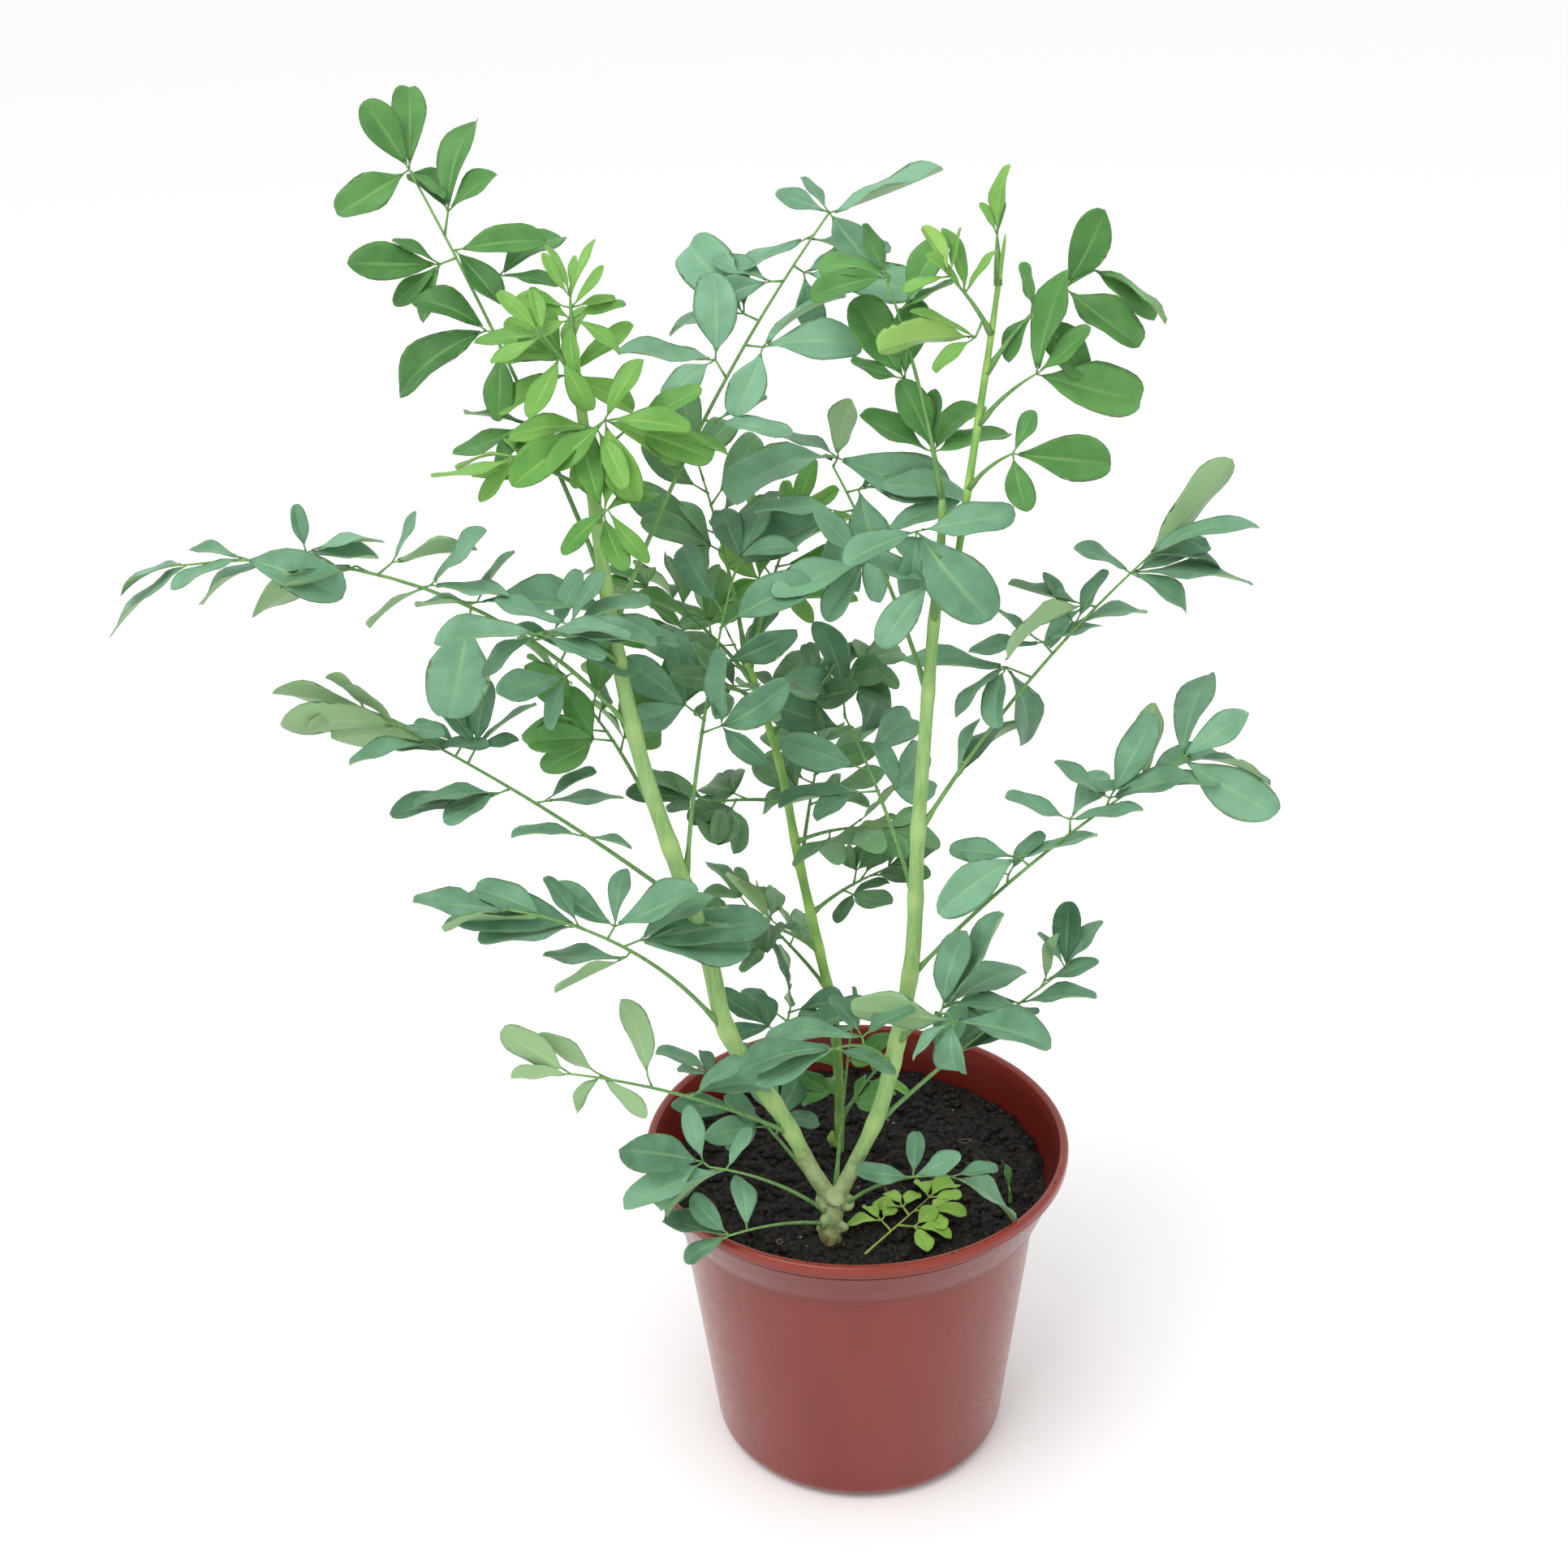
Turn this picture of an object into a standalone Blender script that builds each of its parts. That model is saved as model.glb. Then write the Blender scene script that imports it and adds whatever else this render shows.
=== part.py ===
"""A potted rue: a moulded nursery pot, its potting soil, and a plant of woody
stems with compound leaves.

Units are metres and +Z is up. The origin is the centre of the pot's flat
underside. The plant grows by rule: LEAVES says where each leaf leaves its stem
and how it leans, and the functions below work out its stalk and its leaflets,
turning a leaflet group a little wherever it would touch a neighbour.
"""

import math
from collections import namedtuple

import bmesh
import bpy
from mathutils import Matrix, Vector
from mathutils.bvhtree import BVHTree

# ---------------------------------------------------------------- dimensions

GAP = 0.0003  # kept between pieces that touch

RIM_RADIUS = 0.070
POT_HEIGHT = 0.1125
WALL = 0.0014
LIP_WIDTH = 0.0030
LIP_HEIGHT = 0.0045
LIP_CORNER = 0.00135  # the radius of the lip's rounded edges
LIP_OVERHANG = 0.0014  # how far the lip stands out past the collar below it
COLLAR_FOOT_HEIGHT = 0.0925
COLLAR_FOOT_RADIUS = 0.0625
COLLAR_STEP = 0.0012  # the height of the step where the collar meets the wall
COLLAR_FLOOR = 0.0905  # where the inside starts to widen into the collar
COLLAR_FLOOR_RISE = 0.003
SHOULDER_RADIUS = 0.0598
BASE_RADIUS = 0.0498
HEEL_RADIUS = 0.006
TURN_STEPS = 36

DRAIN_COUNT = 6
DRAIN_RADIUS = 0.0045
DRAIN_RING_RADIUS = 0.031

SOIL_HEIGHT = 0.100
SOIL_EDGE_DROP = 0.0012
SOIL_FLAT_SHARE = 0.75  # the level middle of the soil, as a share of its radius
SOCKET_DEPTH = 0.0125
SOCKET_WIDTH = 1.3  # a socket's radius in stem radii

STUMP_BULGES = (1.0, 1.0, 1.08, 0.94, 1.12)  # the stump's thickness along its height
LIMB_BITE = 0.002  # how far a limb starts inside the fork
LIMB_STRAIGHT = 0.004  # the limb's last stretch, in line with the stem that it meets

STALK_RADIUS = 0.0010
STALK_TIP_RADIUS = 0.0006
BARE_SHARE = 0.42  # the part of a leaf stalk below its first leaflets
STALK_SPANS = 2  # straight spans of a stalk, and one more for each SPAN_DROOP degrees
SPAN_DROOP = 12
LEAF_THICKNESS = 0.0005
CLEARANCE = 0.0008  # added to a leaflet's thickness when it looks for room
CLEARANCE_SCALE = 1.04  # and the growth of its outline
SKIN_MARGIN = 1.06  # a faceted stem's widest radius over its smooth one
STEEPEST_SINE = 0.35  # the flattest angle at which a stalk leaves its stem

# ---------------------------------------------------------------- plant plan

Stem = namedtuple("Stem", "joints foot_radius tip_radius colour")
Leaf = namedtuple("Leaf", "height azimuth rise length droop groups leaflet roll age")

FORK = Vector((-0.0085, -0.0350, 0.1110))

STEMS = {
    "left": Stem(
        joints=[
            (-0.015, -0.0345, 0.123), (-0.024, -0.033, 0.143), (-0.040, -0.031, 0.173),
            (-0.045, -0.029, 0.198), (-0.053, -0.027, 0.228), (-0.063, -0.024, 0.266),
            (-0.0695, -0.020, 0.310), (-0.073, -0.014, 0.350), (-0.076, -0.010, 0.385),
        ],
        foot_radius=0.0040, tip_radius=0.0014, colour="stem",
    ),
    "right": Stem(
        joints=[
            (-0.0025, -0.0328, 0.123), (0.006, -0.030, 0.142), (0.012, -0.027, 0.166),
            (0.017, -0.023, 0.195), (0.019, -0.018, 0.236), (0.023, -0.012, 0.290),
            (0.026, -0.008, 0.325), (0.026, -0.002, 0.355),
        ],
        foot_radius=0.0037, tip_radius=0.0013, colour="stem",
    ),
    "shoot": Stem(
        joints=[
            (0.0306, -0.0095, 0.318), (0.0345, -0.007, 0.345), (0.039, -0.003, 0.375),
            (0.0435, 0.000, 0.408),
        ],
        foot_radius=0.0021, tip_radius=0.0009, colour="young_stem",
    ),
    "rear": Stem(
        joints=[
            (-0.0055, 0.012, 0.090), (-0.0052, 0.0125, 0.120), (-0.0066, 0.0133, 0.150),
            (-0.011, 0.0167, 0.175), (-0.0169, 0.020, 0.206), (-0.0225, 0.0235, 0.240),
            (-0.033, 0.029, 0.278),
        ],
        foot_radius=0.0024, tip_radius=0.0012, colour="young_stem",
    ),
    "crown": Stem(
        joints=[(-0.0095, -0.0378, 0.0885), (-0.0095, -0.0378, 0.100), tuple(FORK)],
        foot_radius=0.0042, tip_radius=0.0046, colour="crown",
    ),
}

BUDS = [  # offset from the fork, and radius
    (Vector((-0.0030, -0.0030, -0.0045)), 0.0026),
    (Vector((0.0002, -0.0022, 0.0040)), 0.0036),
]

LEAVES = {
    "left": [
        Leaf(0.137, 205, 38, 0.074, 14, 3, 0.022, 75, "old"),
        Leaf(0.148, 80, 30, 0.036, 20, 2, 0.023, 0, "old"),
        Leaf(0.173, 200, 56, 0.074, 34, 3, 0.028, 0, "old"),
        Leaf(0.215, 170, 38, 0.105, 12, 4, 0.023, 25, "old"),
        Leaf(0.222, 62, 76, 0.082, 20, 3, 0.027, 0, "old"),
        Leaf(0.235, 145, 60, 0.038, 20, 3, 0.023, 0, "mid"),
        Leaf(0.272, 185, 53, 0.130, 58, 6, 0.025, 12, "old"),
        Leaf(0.293, 235, 42, 0.034, 24, 3, 0.027, 0, "old"),
        Leaf(0.303, 40, 60, 0.136, 20, 6, 0.025, 0, "old"),
        Leaf(0.316, 140, 63, 0.116, 10, 6, 0.025, 0, "mid"),
        Leaf(0.334, 285, 30, 0.028, 10, 3, 0.022, 0, "young"),
        Leaf(0.342, 195, 35, 0.028, 10, 3, 0.022, 0, "young"),
        Leaf(0.350, 15, 40, 0.028, 10, 3, 0.022, 0, "young"),
        Leaf(0.357, 320, 42, 0.022, 10, 2, 0.020, 0, "young"),
        Leaf(0.364, 120, 55, 0.026, 10, 2, 0.020, 0, "young"),
        Leaf(0.372, 225, 58, 0.018, 10, 2, 0.015, 0, "young"),
        Leaf(0.380, 100, 80, 0.010, 6, 0, 0.018, 0, "young"),
    ],
    "right": [
        Leaf(0.137, 20, 36, 0.069, 8, 3, 0.020, 0, "old"),
        Leaf(0.158, 235, 50, 0.036, 34, 3, 0.027, 0, "old"),
        Leaf(0.165, 310, 52, 0.038, 34, 3, 0.026, 0, "old"),
        Leaf(0.187, 10, 46, 0.112, 20, 5, 0.022, -12, "old"),
        Leaf(0.212, 115, 52, 0.056, 20, 3, 0.025, 0, "old"),
        Leaf(0.234, 15, 56, 0.116, 20, 5, 0.023, -15, "old"),
        Leaf(0.277, 125, 60, 0.076, 20, 4, 0.028, 0, "old"),
        Leaf(0.298, 280, 74, 0.014, 10, 1, 0.031, 0, "old"),
        Leaf(0.335, 140, 78, 0.050, 10, 3, 0.024, 0, "mid"),
    ],
    "shoot": [
        Leaf(0.338, 315, 48, 0.016, 20, 1, 0.026, 0, "mid"),
        Leaf(0.356, 345, 50, 0.018, 20, 1, 0.029, 0, "mid"),
        Leaf(0.370, 20, 52, 0.036, 34, 3, 0.020, 0, "mid"),
        Leaf(0.381, 205, 58, 0.018, 14, 1, 0.020, 0, "young"),
        Leaf(0.394, 95, 78, 0.010, 6, 0, 0.022, 0, "young"),
    ],
    "rear": [
        Leaf(0.110, 40, 42, 0.026, 20, 1, 0.014, 0, "young"),
        Leaf(0.160, 135, 34, 0.036, 20, 3, 0.020, 0, "old"),
        Leaf(0.174, 195, 42, 0.022, 20, 1, 0.022, 0, "old"),
        Leaf(0.187, 5, 40, 0.022, 20, 2, 0.021, 0, "old"),
        Leaf(0.203, 80, 36, 0.048, 24, 3, 0.021, 0, "old"),
        Leaf(0.212, 330, 32, 0.026, 20, 2, 0.023, 0, "old"),
        Leaf(0.226, 200, 16, 0.026, 14, 2, 0.023, 0, "old"),
        Leaf(0.238, 110, 42, 0.050, 24, 3, 0.023, 0, "old"),
        Leaf(0.248, 20, 44, 0.030, 24, 3, 0.022, 0, "old"),
        Leaf(0.256, 245, 46, 0.030, 24, 2, 0.025, 0, "old"),
        Leaf(0.264, 160, 50, 0.034, 20, 3, 0.024, 0, "mid"),
        Leaf(0.270, 60, 62, 0.040, 20, 3, 0.023, 0, "young"),
        Leaf(0.274, 120, 72, 0.050, 16, 3, 0.025, 0, "old"),
    ],
    "crown": [
        Leaf(0.1045, 215, 28, 0.036, 20, 2, 0.019, 0, "old"),
        Leaf(0.1070, 198, 46, 0.042, 24, 2, 0.025, 0, "old"),
        Leaf(0.1085, 160, 46, 0.044, 24, 2, 0.022, 0, "old"),
        Leaf(0.1080, 345, 46, 0.036, 44, 2, 0.022, 0, "old"),
        Leaf(0.1095, 80, 48, 0.042, 14, 2, 0.016, 0, "mid"),
    ],
}

FALLEN_ROOT = Vector((0.0005, -0.0500, SOIL_HEIGHT + 0.0016))
FALLEN_LEAF = Leaf(0, 52, 0, 0.036, 0, 3, 0.0135, 0, "fallen")
SEEDLING_ROOT = Vector((0.0490, -0.0230, SOIL_HEIGHT + 0.0008))
SEEDLING = Leaf(0, 120, 84, 0.005, 0, 0, 0.008, 0, "mid")

# A leaflet's outline as shares of its length: along it, and to each side.
LEAFLET_SHAPE = [(0.50, 0.20), (0.92, 0.15)]
SIDE_LEAFLET_ANGLE = 58
SIDE_LEAFLET_SIZE = 0.82
LEAFLET_NOTCH = 0.10  # the notch between two leaflets, in leaflet lengths
GROUP_STALK = 0.42  # a group's own stalk, in leaflet lengths
SINGLE_STALK_SHARE = 0.5  # the shorter stalk of a single leaflet
GROUP_STALK_WIDTH = 0.0005
BLADE_BITE = 0.001  # the end of a group's stalk that counts as its blades
END_GROUP_INSET = 0.0012  # how far the end group's stalk runs back into the leaf's

GROUP_SHRINK = 0.22  # how much smaller the groups get along the leaf
SINGLE_SHARE = 0.3  # the share of side groups, from the leaf's foot, that have three leaflets
LOW_GROUP_ANGLE = 62  # between the leaf's stalk and its lowest side group
GROUP_CLOSING = 16  # how much that angle closes towards the leaf's end
ROLL_FLUTTER = 14  # a group's own unevenness, in degrees
LIFT_FLUTTER = 8

# Turns that a leaflet group tries, in degrees: about its own axis, up, and sideways.
GROUP_TURNS = [
    (0, 0, 0), (24, 0, 0), (-24, 0, 0), (0, 20, 0), (0, -20, 0), (0, 0, 16), (0, 0, -16),
    (40, 16, 0), (-40, 16, 0), (40, -16, 0), (-40, -16, 0), (0, 34, 12), (0, -34, -12),
    (60, 0, 14), (-60, 0, -14), (20, 40, -20), (-20, -40, 20), (75, 20, 0), (-75, 20, 0),
]
GROUP_SIZES = [1.0, 0.82]
STALK_TURNS = [0, 5, -5, 10, -10, 16, -16, 24, -24]
STALK_SLIDES = [0, 1, 2, 3, 4, 5, 6]  # steps of SLIDE_STEP out from the stem's skin
SLIDE_STEP = 0.0005

COLOURS = {
    "pot": ((0.30, 0.093, 0.075), 0.38),
    "soil": ((0.010, 0.008, 0.007), 0.95),
    "crown": ((0.29, 0.40, 0.17), 0.65),
    "stem": ((0.27, 0.47, 0.20), 0.55),
    "young_stem": ((0.27, 0.50, 0.13), 0.5),
    "old": ((0.090, 0.235, 0.150), 0.6),
    "mid": ((0.060, 0.215, 0.080), 0.5),
    "young": ((0.130, 0.400, 0.070), 0.45),
    "fallen": ((0.290, 0.410, 0.090), 0.6),
}

# ------------------------------------------------------------------- helpers


def start_scene():
    """Empty the scene and return the collections for the parts and for the helpers."""
    for old in list(bpy.data.objects):
        bpy.data.objects.remove(old, do_unlink=True)
    collections = []
    for name in ("potted_rue", "helpers"):
        collection = bpy.data.collections.new(name)
        bpy.context.scene.collection.children.link(collection)
        collections.append(collection)
    return collections


def material(name):
    colour, roughness = COLOURS[name]
    made = bpy.data.materials.get(name) or bpy.data.materials.new(name)
    made.use_nodes = True
    shader = made.node_tree.nodes["Principled BSDF"]
    shader.inputs["Base Color"].default_value = (*colour, 1.0)
    shader.inputs["Roughness"].default_value = roughness
    shader.inputs["Metallic"].default_value = 0.0
    return made


def add_part(name, mesh, colour):
    part = bpy.data.objects.new(name, mesh)
    mesh.materials.clear()
    mesh.materials.append(material(colour))
    PARTS.objects.link(part)
    return part


def add_helper(name, mesh):
    helper = bpy.data.objects.new(name, mesh)
    helper.hide_render = True
    helper.display_type = "WIRE"
    HELPERS.objects.link(helper)
    return helper


def boolean(part, helper, operation):
    step = part.modifiers.new(operation.title(), "BOOLEAN")
    step.operation = operation
    step.use_self = operation == "UNION"
    step.object = helper
    return step


def curve_mesh(curve):
    """The mesh of a filled curve, with its caps welded on."""
    carrier = bpy.data.objects.new("carrier", curve)
    bpy.context.scene.collection.objects.link(carrier)
    evaluated = carrier.evaluated_get(bpy.context.evaluated_depsgraph_get())
    mesh = bpy.data.meshes.new_from_object(evaluated)
    bpy.data.objects.remove(carrier)
    bpy.data.curves.remove(curve)
    shape = bmesh.new()
    shape.from_mesh(mesh)
    bmesh.ops.remove_doubles(shape, verts=shape.verts, dist=0.00001)
    shape.to_mesh(mesh)
    shape.free()
    return mesh


def tube_mesh(points, radii, rounding):
    """A round bar through the points, with a radius at each."""
    curve = bpy.data.curves.new("tube", "CURVE")
    curve.dimensions = "3D"
    curve.bevel_depth = 1.0
    curve.bevel_resolution = rounding
    curve.use_fill_caps = True
    spline = curve.splines.new("POLY")
    spline.points.add(len(points) - 1)
    for target, point, radius in zip(spline.points, points, radii):
        target.co = (*point, 1.0)
        target.radius = radius
    return curve_mesh(curve)


def plate_mesh(outline, thickness):
    """A flat plate with the outline, lying in the XY plane."""
    curve = bpy.data.curves.new("plate", "CURVE")
    curve.dimensions = "2D"
    curve.fill_mode = "BOTH"
    curve.extrude = thickness / 2
    spline = curve.splines.new("POLY")
    spline.points.add(len(outline) - 1)
    for target, (x, y) in zip(spline.points, outline):
        target.co = (x, y, 0.0, 1.0)
    spline.use_cyclic_u = True
    return curve_mesh(curve)


def turned_part(name, profile, colour):
    """A body of revolution whose profile runs down its outer side."""
    mesh = bpy.data.meshes.new(name)
    edges = [(k, k + 1) for k in range(len(profile) - 1)]
    mesh.from_pydata([(radius, 0.0, height) for radius, height in profile], edges, [])
    part = add_part(name, mesh, colour)
    screw = part.modifiers.new("Turn", "SCREW")
    screw.steps = TURN_STEPS
    screw.render_steps = TURN_STEPS
    screw.use_merge_vertices = True
    screw.merge_threshold = 0.00001
    return part


def arc_points(centre, radius, start, end, steps):
    """Profile points on an arc, with angles in degrees."""
    points = []
    for k in range(steps + 1):
        angle = math.radians(start + (end - start) * k / steps)
        points.append((centre[0] + radius * math.cos(angle), centre[1] + radius * math.sin(angle)))
    return points


def shade(part, degrees=35):
    part.data.shade_smooth()
    part.data.set_sharp_from_angle(angle=math.radians(degrees))


# ----------------------------------------------------------------------- pot


def inner_radius(height):
    """The radius of the pot's inside at a height."""
    if height >= COLLAR_FOOT_HEIGHT:
        share = (height - COLLAR_FOOT_HEIGHT) / (POT_HEIGHT - COLLAR_FOOT_HEIGHT)
        return COLLAR_FOOT_RADIUS - WALL + share * (RIM_RADIUS - LIP_WIDTH - COLLAR_FOOT_RADIUS + WALL)
    share = (height - HEEL_RADIUS) / (COLLAR_FOOT_HEIGHT - HEEL_RADIUS)
    return BASE_RADIUS - WALL + share * (SHOULDER_RADIUS - BASE_RADIUS)


def make_pot():
    """The moulded pot: tapered wall, stepped collar, rolled lip and drain holes."""
    lip_foot = POT_HEIGHT - LIP_HEIGHT
    collar_start = COLLAR_FLOOR + COLLAR_FLOOR_RISE
    inside = [
        (0.0, WALL),
        (BASE_RADIUS - HEEL_RADIUS, WALL),
        (inner_radius(HEEL_RADIUS), HEEL_RADIUS),
        (inner_radius(COLLAR_FLOOR), COLLAR_FLOOR),
        (inner_radius(collar_start), collar_start),
        (inner_radius(lip_foot), lip_foot),
    ]
    lip_top = POT_HEIGHT - LIP_CORNER
    lip_side = RIM_RADIUS - LIP_CORNER
    lip = arc_points((RIM_RADIUS - LIP_WIDTH + LIP_CORNER, lip_top), LIP_CORNER, 180, 90, 2)
    lip += arc_points((lip_side, lip_top), LIP_CORNER, 90, 0, 2)
    lip += arc_points((lip_side, lip_foot + LIP_CORNER), LIP_CORNER, 0, -70, 2)
    heel = arc_points((BASE_RADIUS - HEEL_RADIUS, HEEL_RADIUS), HEEL_RADIUS, 0, -90, 4)
    outside = [
        (RIM_RADIUS - LIP_OVERHANG, lip_foot),
        (COLLAR_FOOT_RADIUS, COLLAR_FOOT_HEIGHT),
        (SHOULDER_RADIUS, COLLAR_FOOT_HEIGHT - COLLAR_STEP),
    ]
    pot = turned_part("pot", inside + lip + outside + heel + [(0.0, 0.0)], "pot")

    drains = bmesh.new()
    for k in range(DRAIN_COUNT):
        turn = Matrix.Rotation(math.tau * k / DRAIN_COUNT, 4, "Z")
        place = turn @ Matrix.Translation((DRAIN_RING_RADIUS, 0.0, 0.0))
        bmesh.ops.create_cone(
            drains, cap_ends=True, segments=12, radius1=DRAIN_RADIUS, radius2=DRAIN_RADIUS,
            depth=WALL * 4, matrix=place,
        )
    mesh = bpy.data.meshes.new("drain_cutters")
    drains.to_mesh(mesh)
    drains.free()
    boolean(pot, add_helper("drain_cutters", mesh), "DIFFERENCE")
    return pot


def make_soil():
    """The potting soil, level to just under the lip, with sockets for the stem feet."""
    edge_height = SOIL_HEIGHT - SOIL_EDGE_DROP
    edge = inner_radius(edge_height) - GAP
    profile = [
        (0.0, SOIL_HEIGHT),
        (edge * SOIL_FLAT_SHARE, SOIL_HEIGHT),
        (edge, edge_height),
        (inner_radius(COLLAR_FLOOR) - GAP, COLLAR_FLOOR),
        (inner_radius(HEEL_RADIUS) - 2 * GAP, HEEL_RADIUS + GAP),
        (BASE_RADIUS - HEEL_RADIUS - GAP, WALL + GAP),
        (0.0, WALL + GAP),
    ]
    soil = turned_part("soil", profile, "soil")
    sockets = bmesh.new()
    for name in ("crown", "rear"):
        foot = Vector(STEMS[name].joints[0])
        radius = STEMS[name].foot_radius * SOCKET_WIDTH + GAP
        bmesh.ops.create_cone(
            sockets, cap_ends=True, segments=12, radius1=radius, radius2=radius,
            depth=2 * SOCKET_DEPTH, matrix=Matrix.Translation((foot.x, foot.y, SOIL_HEIGHT)),
        )
    mesh = bpy.data.meshes.new("socket_cutters")
    sockets.to_mesh(mesh)
    sockets.free()
    boolean(soil, add_helper("socket_cutters", mesh), "DIFFERENCE")
    return soil


# --------------------------------------------------------------------- stems


def smooth_path(joints, steps=3):
    """Points on a smooth curve through the joints."""
    spots = [Vector(joint) for joint in joints]
    spots = [2 * spots[0] - spots[1]] + spots + [2 * spots[-1] - spots[-2]]
    path = []
    for before, start, end, after in zip(spots, spots[1:], spots[2:], spots[3:]):
        for k in range(steps):
            t = k / steps
            path.append(
                0.5 * (2 * start + (end - before) * t
                       + (2 * before - 5 * start + 4 * end - after) * t ** 2
                       + (3 * start - before - 3 * end + after) * t ** 3)
            )
    path.append(spots[-2])
    return path


def stem_radius(stem, share):
    """A stem stays stout for most of its height and thins out near its tip."""
    return stem.foot_radius + (stem.tip_radius - stem.foot_radius) * share ** 3


def make_stem(name):
    stem = STEMS[name]
    path = smooth_path(stem.joints)
    radii = [stem_radius(stem, k / (len(path) - 1)) for k in range(len(path))]
    part = add_part(f"{name}_stem", tube_mesh(path, radii, rounding=2), stem.colour)
    shade(part)
    return part


def make_crown():
    """The old stump between the soil and the two main stems, with its buds."""
    stump = STEMS["crown"]
    path = smooth_path(stump.joints, steps=2)
    radii = [stump.foot_radius * bulge for bulge in STUMP_BULGES]
    crown = add_part("crown", tube_mesh(path, radii, rounding=2), stump.colour)
    for name in ("left", "right"):
        stem = STEMS[name]
        end, next_point = smooth_path(stem.joints)[:2]
        along = (next_point - end).normalized()
        limb_points = [FORK - LIMB_BITE * along, end - LIMB_STRAIGHT * along, end - GAP * along]
        limb = tube_mesh(limb_points, [stem.foot_radius] * 3, rounding=2)
        boolean(crown, add_helper(f"{name}_limb", limb), "UNION")
    buds = bmesh.new()
    for offset, radius in BUDS:
        place = Matrix.Translation(FORK + offset)
        bmesh.ops.create_icosphere(buds, subdivisions=1, radius=radius, matrix=place)
    mesh = bpy.data.meshes.new("buds")
    buds.to_mesh(mesh)
    buds.free()
    boolean(crown, add_helper("buds", mesh), "UNION")
    return crown


def stem_at(name, height):
    """The stem's axis point, its direction and its radius at a height."""
    stem = STEMS[name]
    path = smooth_path(stem.joints)
    for k, (low, high) in enumerate(zip(path, path[1:])):
        if high.z >= height or k == len(path) - 2:
            share = (height - low.z) / (high.z - low.z)
            radius = stem_radius(stem, (k + share) / (len(path) - 1))
            return low.lerp(high, share), (high - low).normalized(), radius


# -------------------------------------------------------------------- leaves


def stalk_root(stem_name, leaf):
    """Where the leaf stalk starts: on the stem's skin, a gap clear of it."""
    axis, along, radius = stem_at(stem_name, leaf.height)
    heading = leaf_frame(leaf, axis, 0.0).col[0].xyz
    sine = max(heading.cross(along).length, STEEPEST_SINE)
    cosine = abs(heading.dot(along))
    return axis + heading * (radius * SKIN_MARGIN + GAP + STALK_RADIUS * cosine) / sine


def leaf_frame(leaf, root, reach):
    """The frame at a distance along the leaf's stalk: forward, left, up and the point."""
    azimuth = math.radians(leaf.azimuth)
    rise = math.radians(leaf.rise)
    heading = Vector((math.cos(azimuth), math.sin(azimuth), 0.0))
    up = Vector((0.0, 0.0, 1.0))
    bend = math.radians(leaf.droop) / leaf.length
    turned = rise - bend * reach
    if leaf.droop:
        out = (math.sin(rise) - math.sin(turned)) / bend
        climb = (math.cos(turned) - math.cos(rise)) / bend
    else:
        out = reach * math.cos(rise)
        climb = reach * math.sin(rise)
    forward = heading * math.cos(turned) + up * math.sin(turned)
    left = up.cross(heading)
    left.rotate(Matrix.Rotation(math.radians(leaf.roll), 3, forward))
    frame = Matrix((forward, left, forward.cross(left))).transposed().to_4x4()
    frame.translation = root + heading * out + up * climb
    return frame


def group_reaches(leaf):
    """How far along the stalk each side group sits."""
    bare = BARE_SHARE * leaf.length
    return [bare + (leaf.length - bare) * k / leaf.groups for k in range(leaf.groups)]


def group_pose(leaf, root, index, turn):
    """The frame of a leaflet group on the stalk: side groups in order, then the end one."""
    about, lift, swing = (math.radians(angle) for angle in turn)
    if index == leaf.groups:
        frame = leaf_frame(leaf, root, leaf.length - END_GROUP_INSET)
        side_angle = 0.0
    else:
        frame = leaf_frame(leaf, root, group_reaches(leaf)[index])
        side = 1 if index % 2 else -1
        side_angle = side * math.radians(LOW_GROUP_ANGLE - GROUP_CLOSING * index / leaf.groups)
    about += math.radians(ROLL_FLUTTER) * math.sin(2.4 * index + leaf.azimuth)
    lift += math.radians(LIFT_FLUTTER) * math.cos(3.1 * index + leaf.azimuth)
    return (
        frame
        @ Matrix.Rotation(side_angle + swing, 4, "Z")
        @ Matrix.Rotation(-lift, 4, "Y")
        @ Matrix.Rotation(about, 4, "X")
    )


def group_scale(leaf, index):
    """The leaflet length in a group: smaller towards the leaf's end."""
    return leaf.leaflet * (1.0 - GROUP_SHRINK * index / max(leaf.groups, 1))


def group_is_single(leaf, index):
    """The last side groups are down to one leaflet, and so is a leaf with no side groups."""
    return leaf.groups == 0 or leaf.groups * SINGLE_SHARE < index < leaf.groups


def leaflet_points(hub, angle, size):
    """One leaflet's outline beyond its base, from its right side round to its left."""
    right = [(along, -side) for along, side in LEAFLET_SHAPE]
    left = [(along, side) for along, side in reversed(LEAFLET_SHAPE)]
    cosine = math.cos(math.radians(angle))
    sine = math.sin(math.radians(angle))
    return [
        (hub + size * (x * cosine - y * sine), size * (x * sine + y * cosine))
        for x, y in right + left
    ]


def group_outline(size, single, with_stalk=True):
    """The flat outline of a leaflet group: a short stalk with one or three leaflets."""
    stalk = GROUP_STALK * size * (SINGLE_STALK_SHARE if single else 1.0)
    half_width = GROUP_STALK_WIDTH / 2
    start = 0.0 if with_stalk else stalk - BLADE_BITE
    outline = [(start, -half_width)]
    if single:
        outline += leaflet_points(stalk, 0, size)
    else:
        side = SIDE_LEAFLET_SIZE * size
        notch = LEAFLET_NOTCH * size
        outline += leaflet_points(stalk, -SIDE_LEAFLET_ANGLE, side)
        outline.append((stalk + notch * 0.85, -notch * 0.5))
        outline += leaflet_points(stalk, 0, size)
        outline.append((stalk + notch * 0.85, notch * 0.5))
        outline += leaflet_points(stalk, SIDE_LEAFLET_ANGLE, side)
    outline.append((start, half_width))
    return outline


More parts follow.
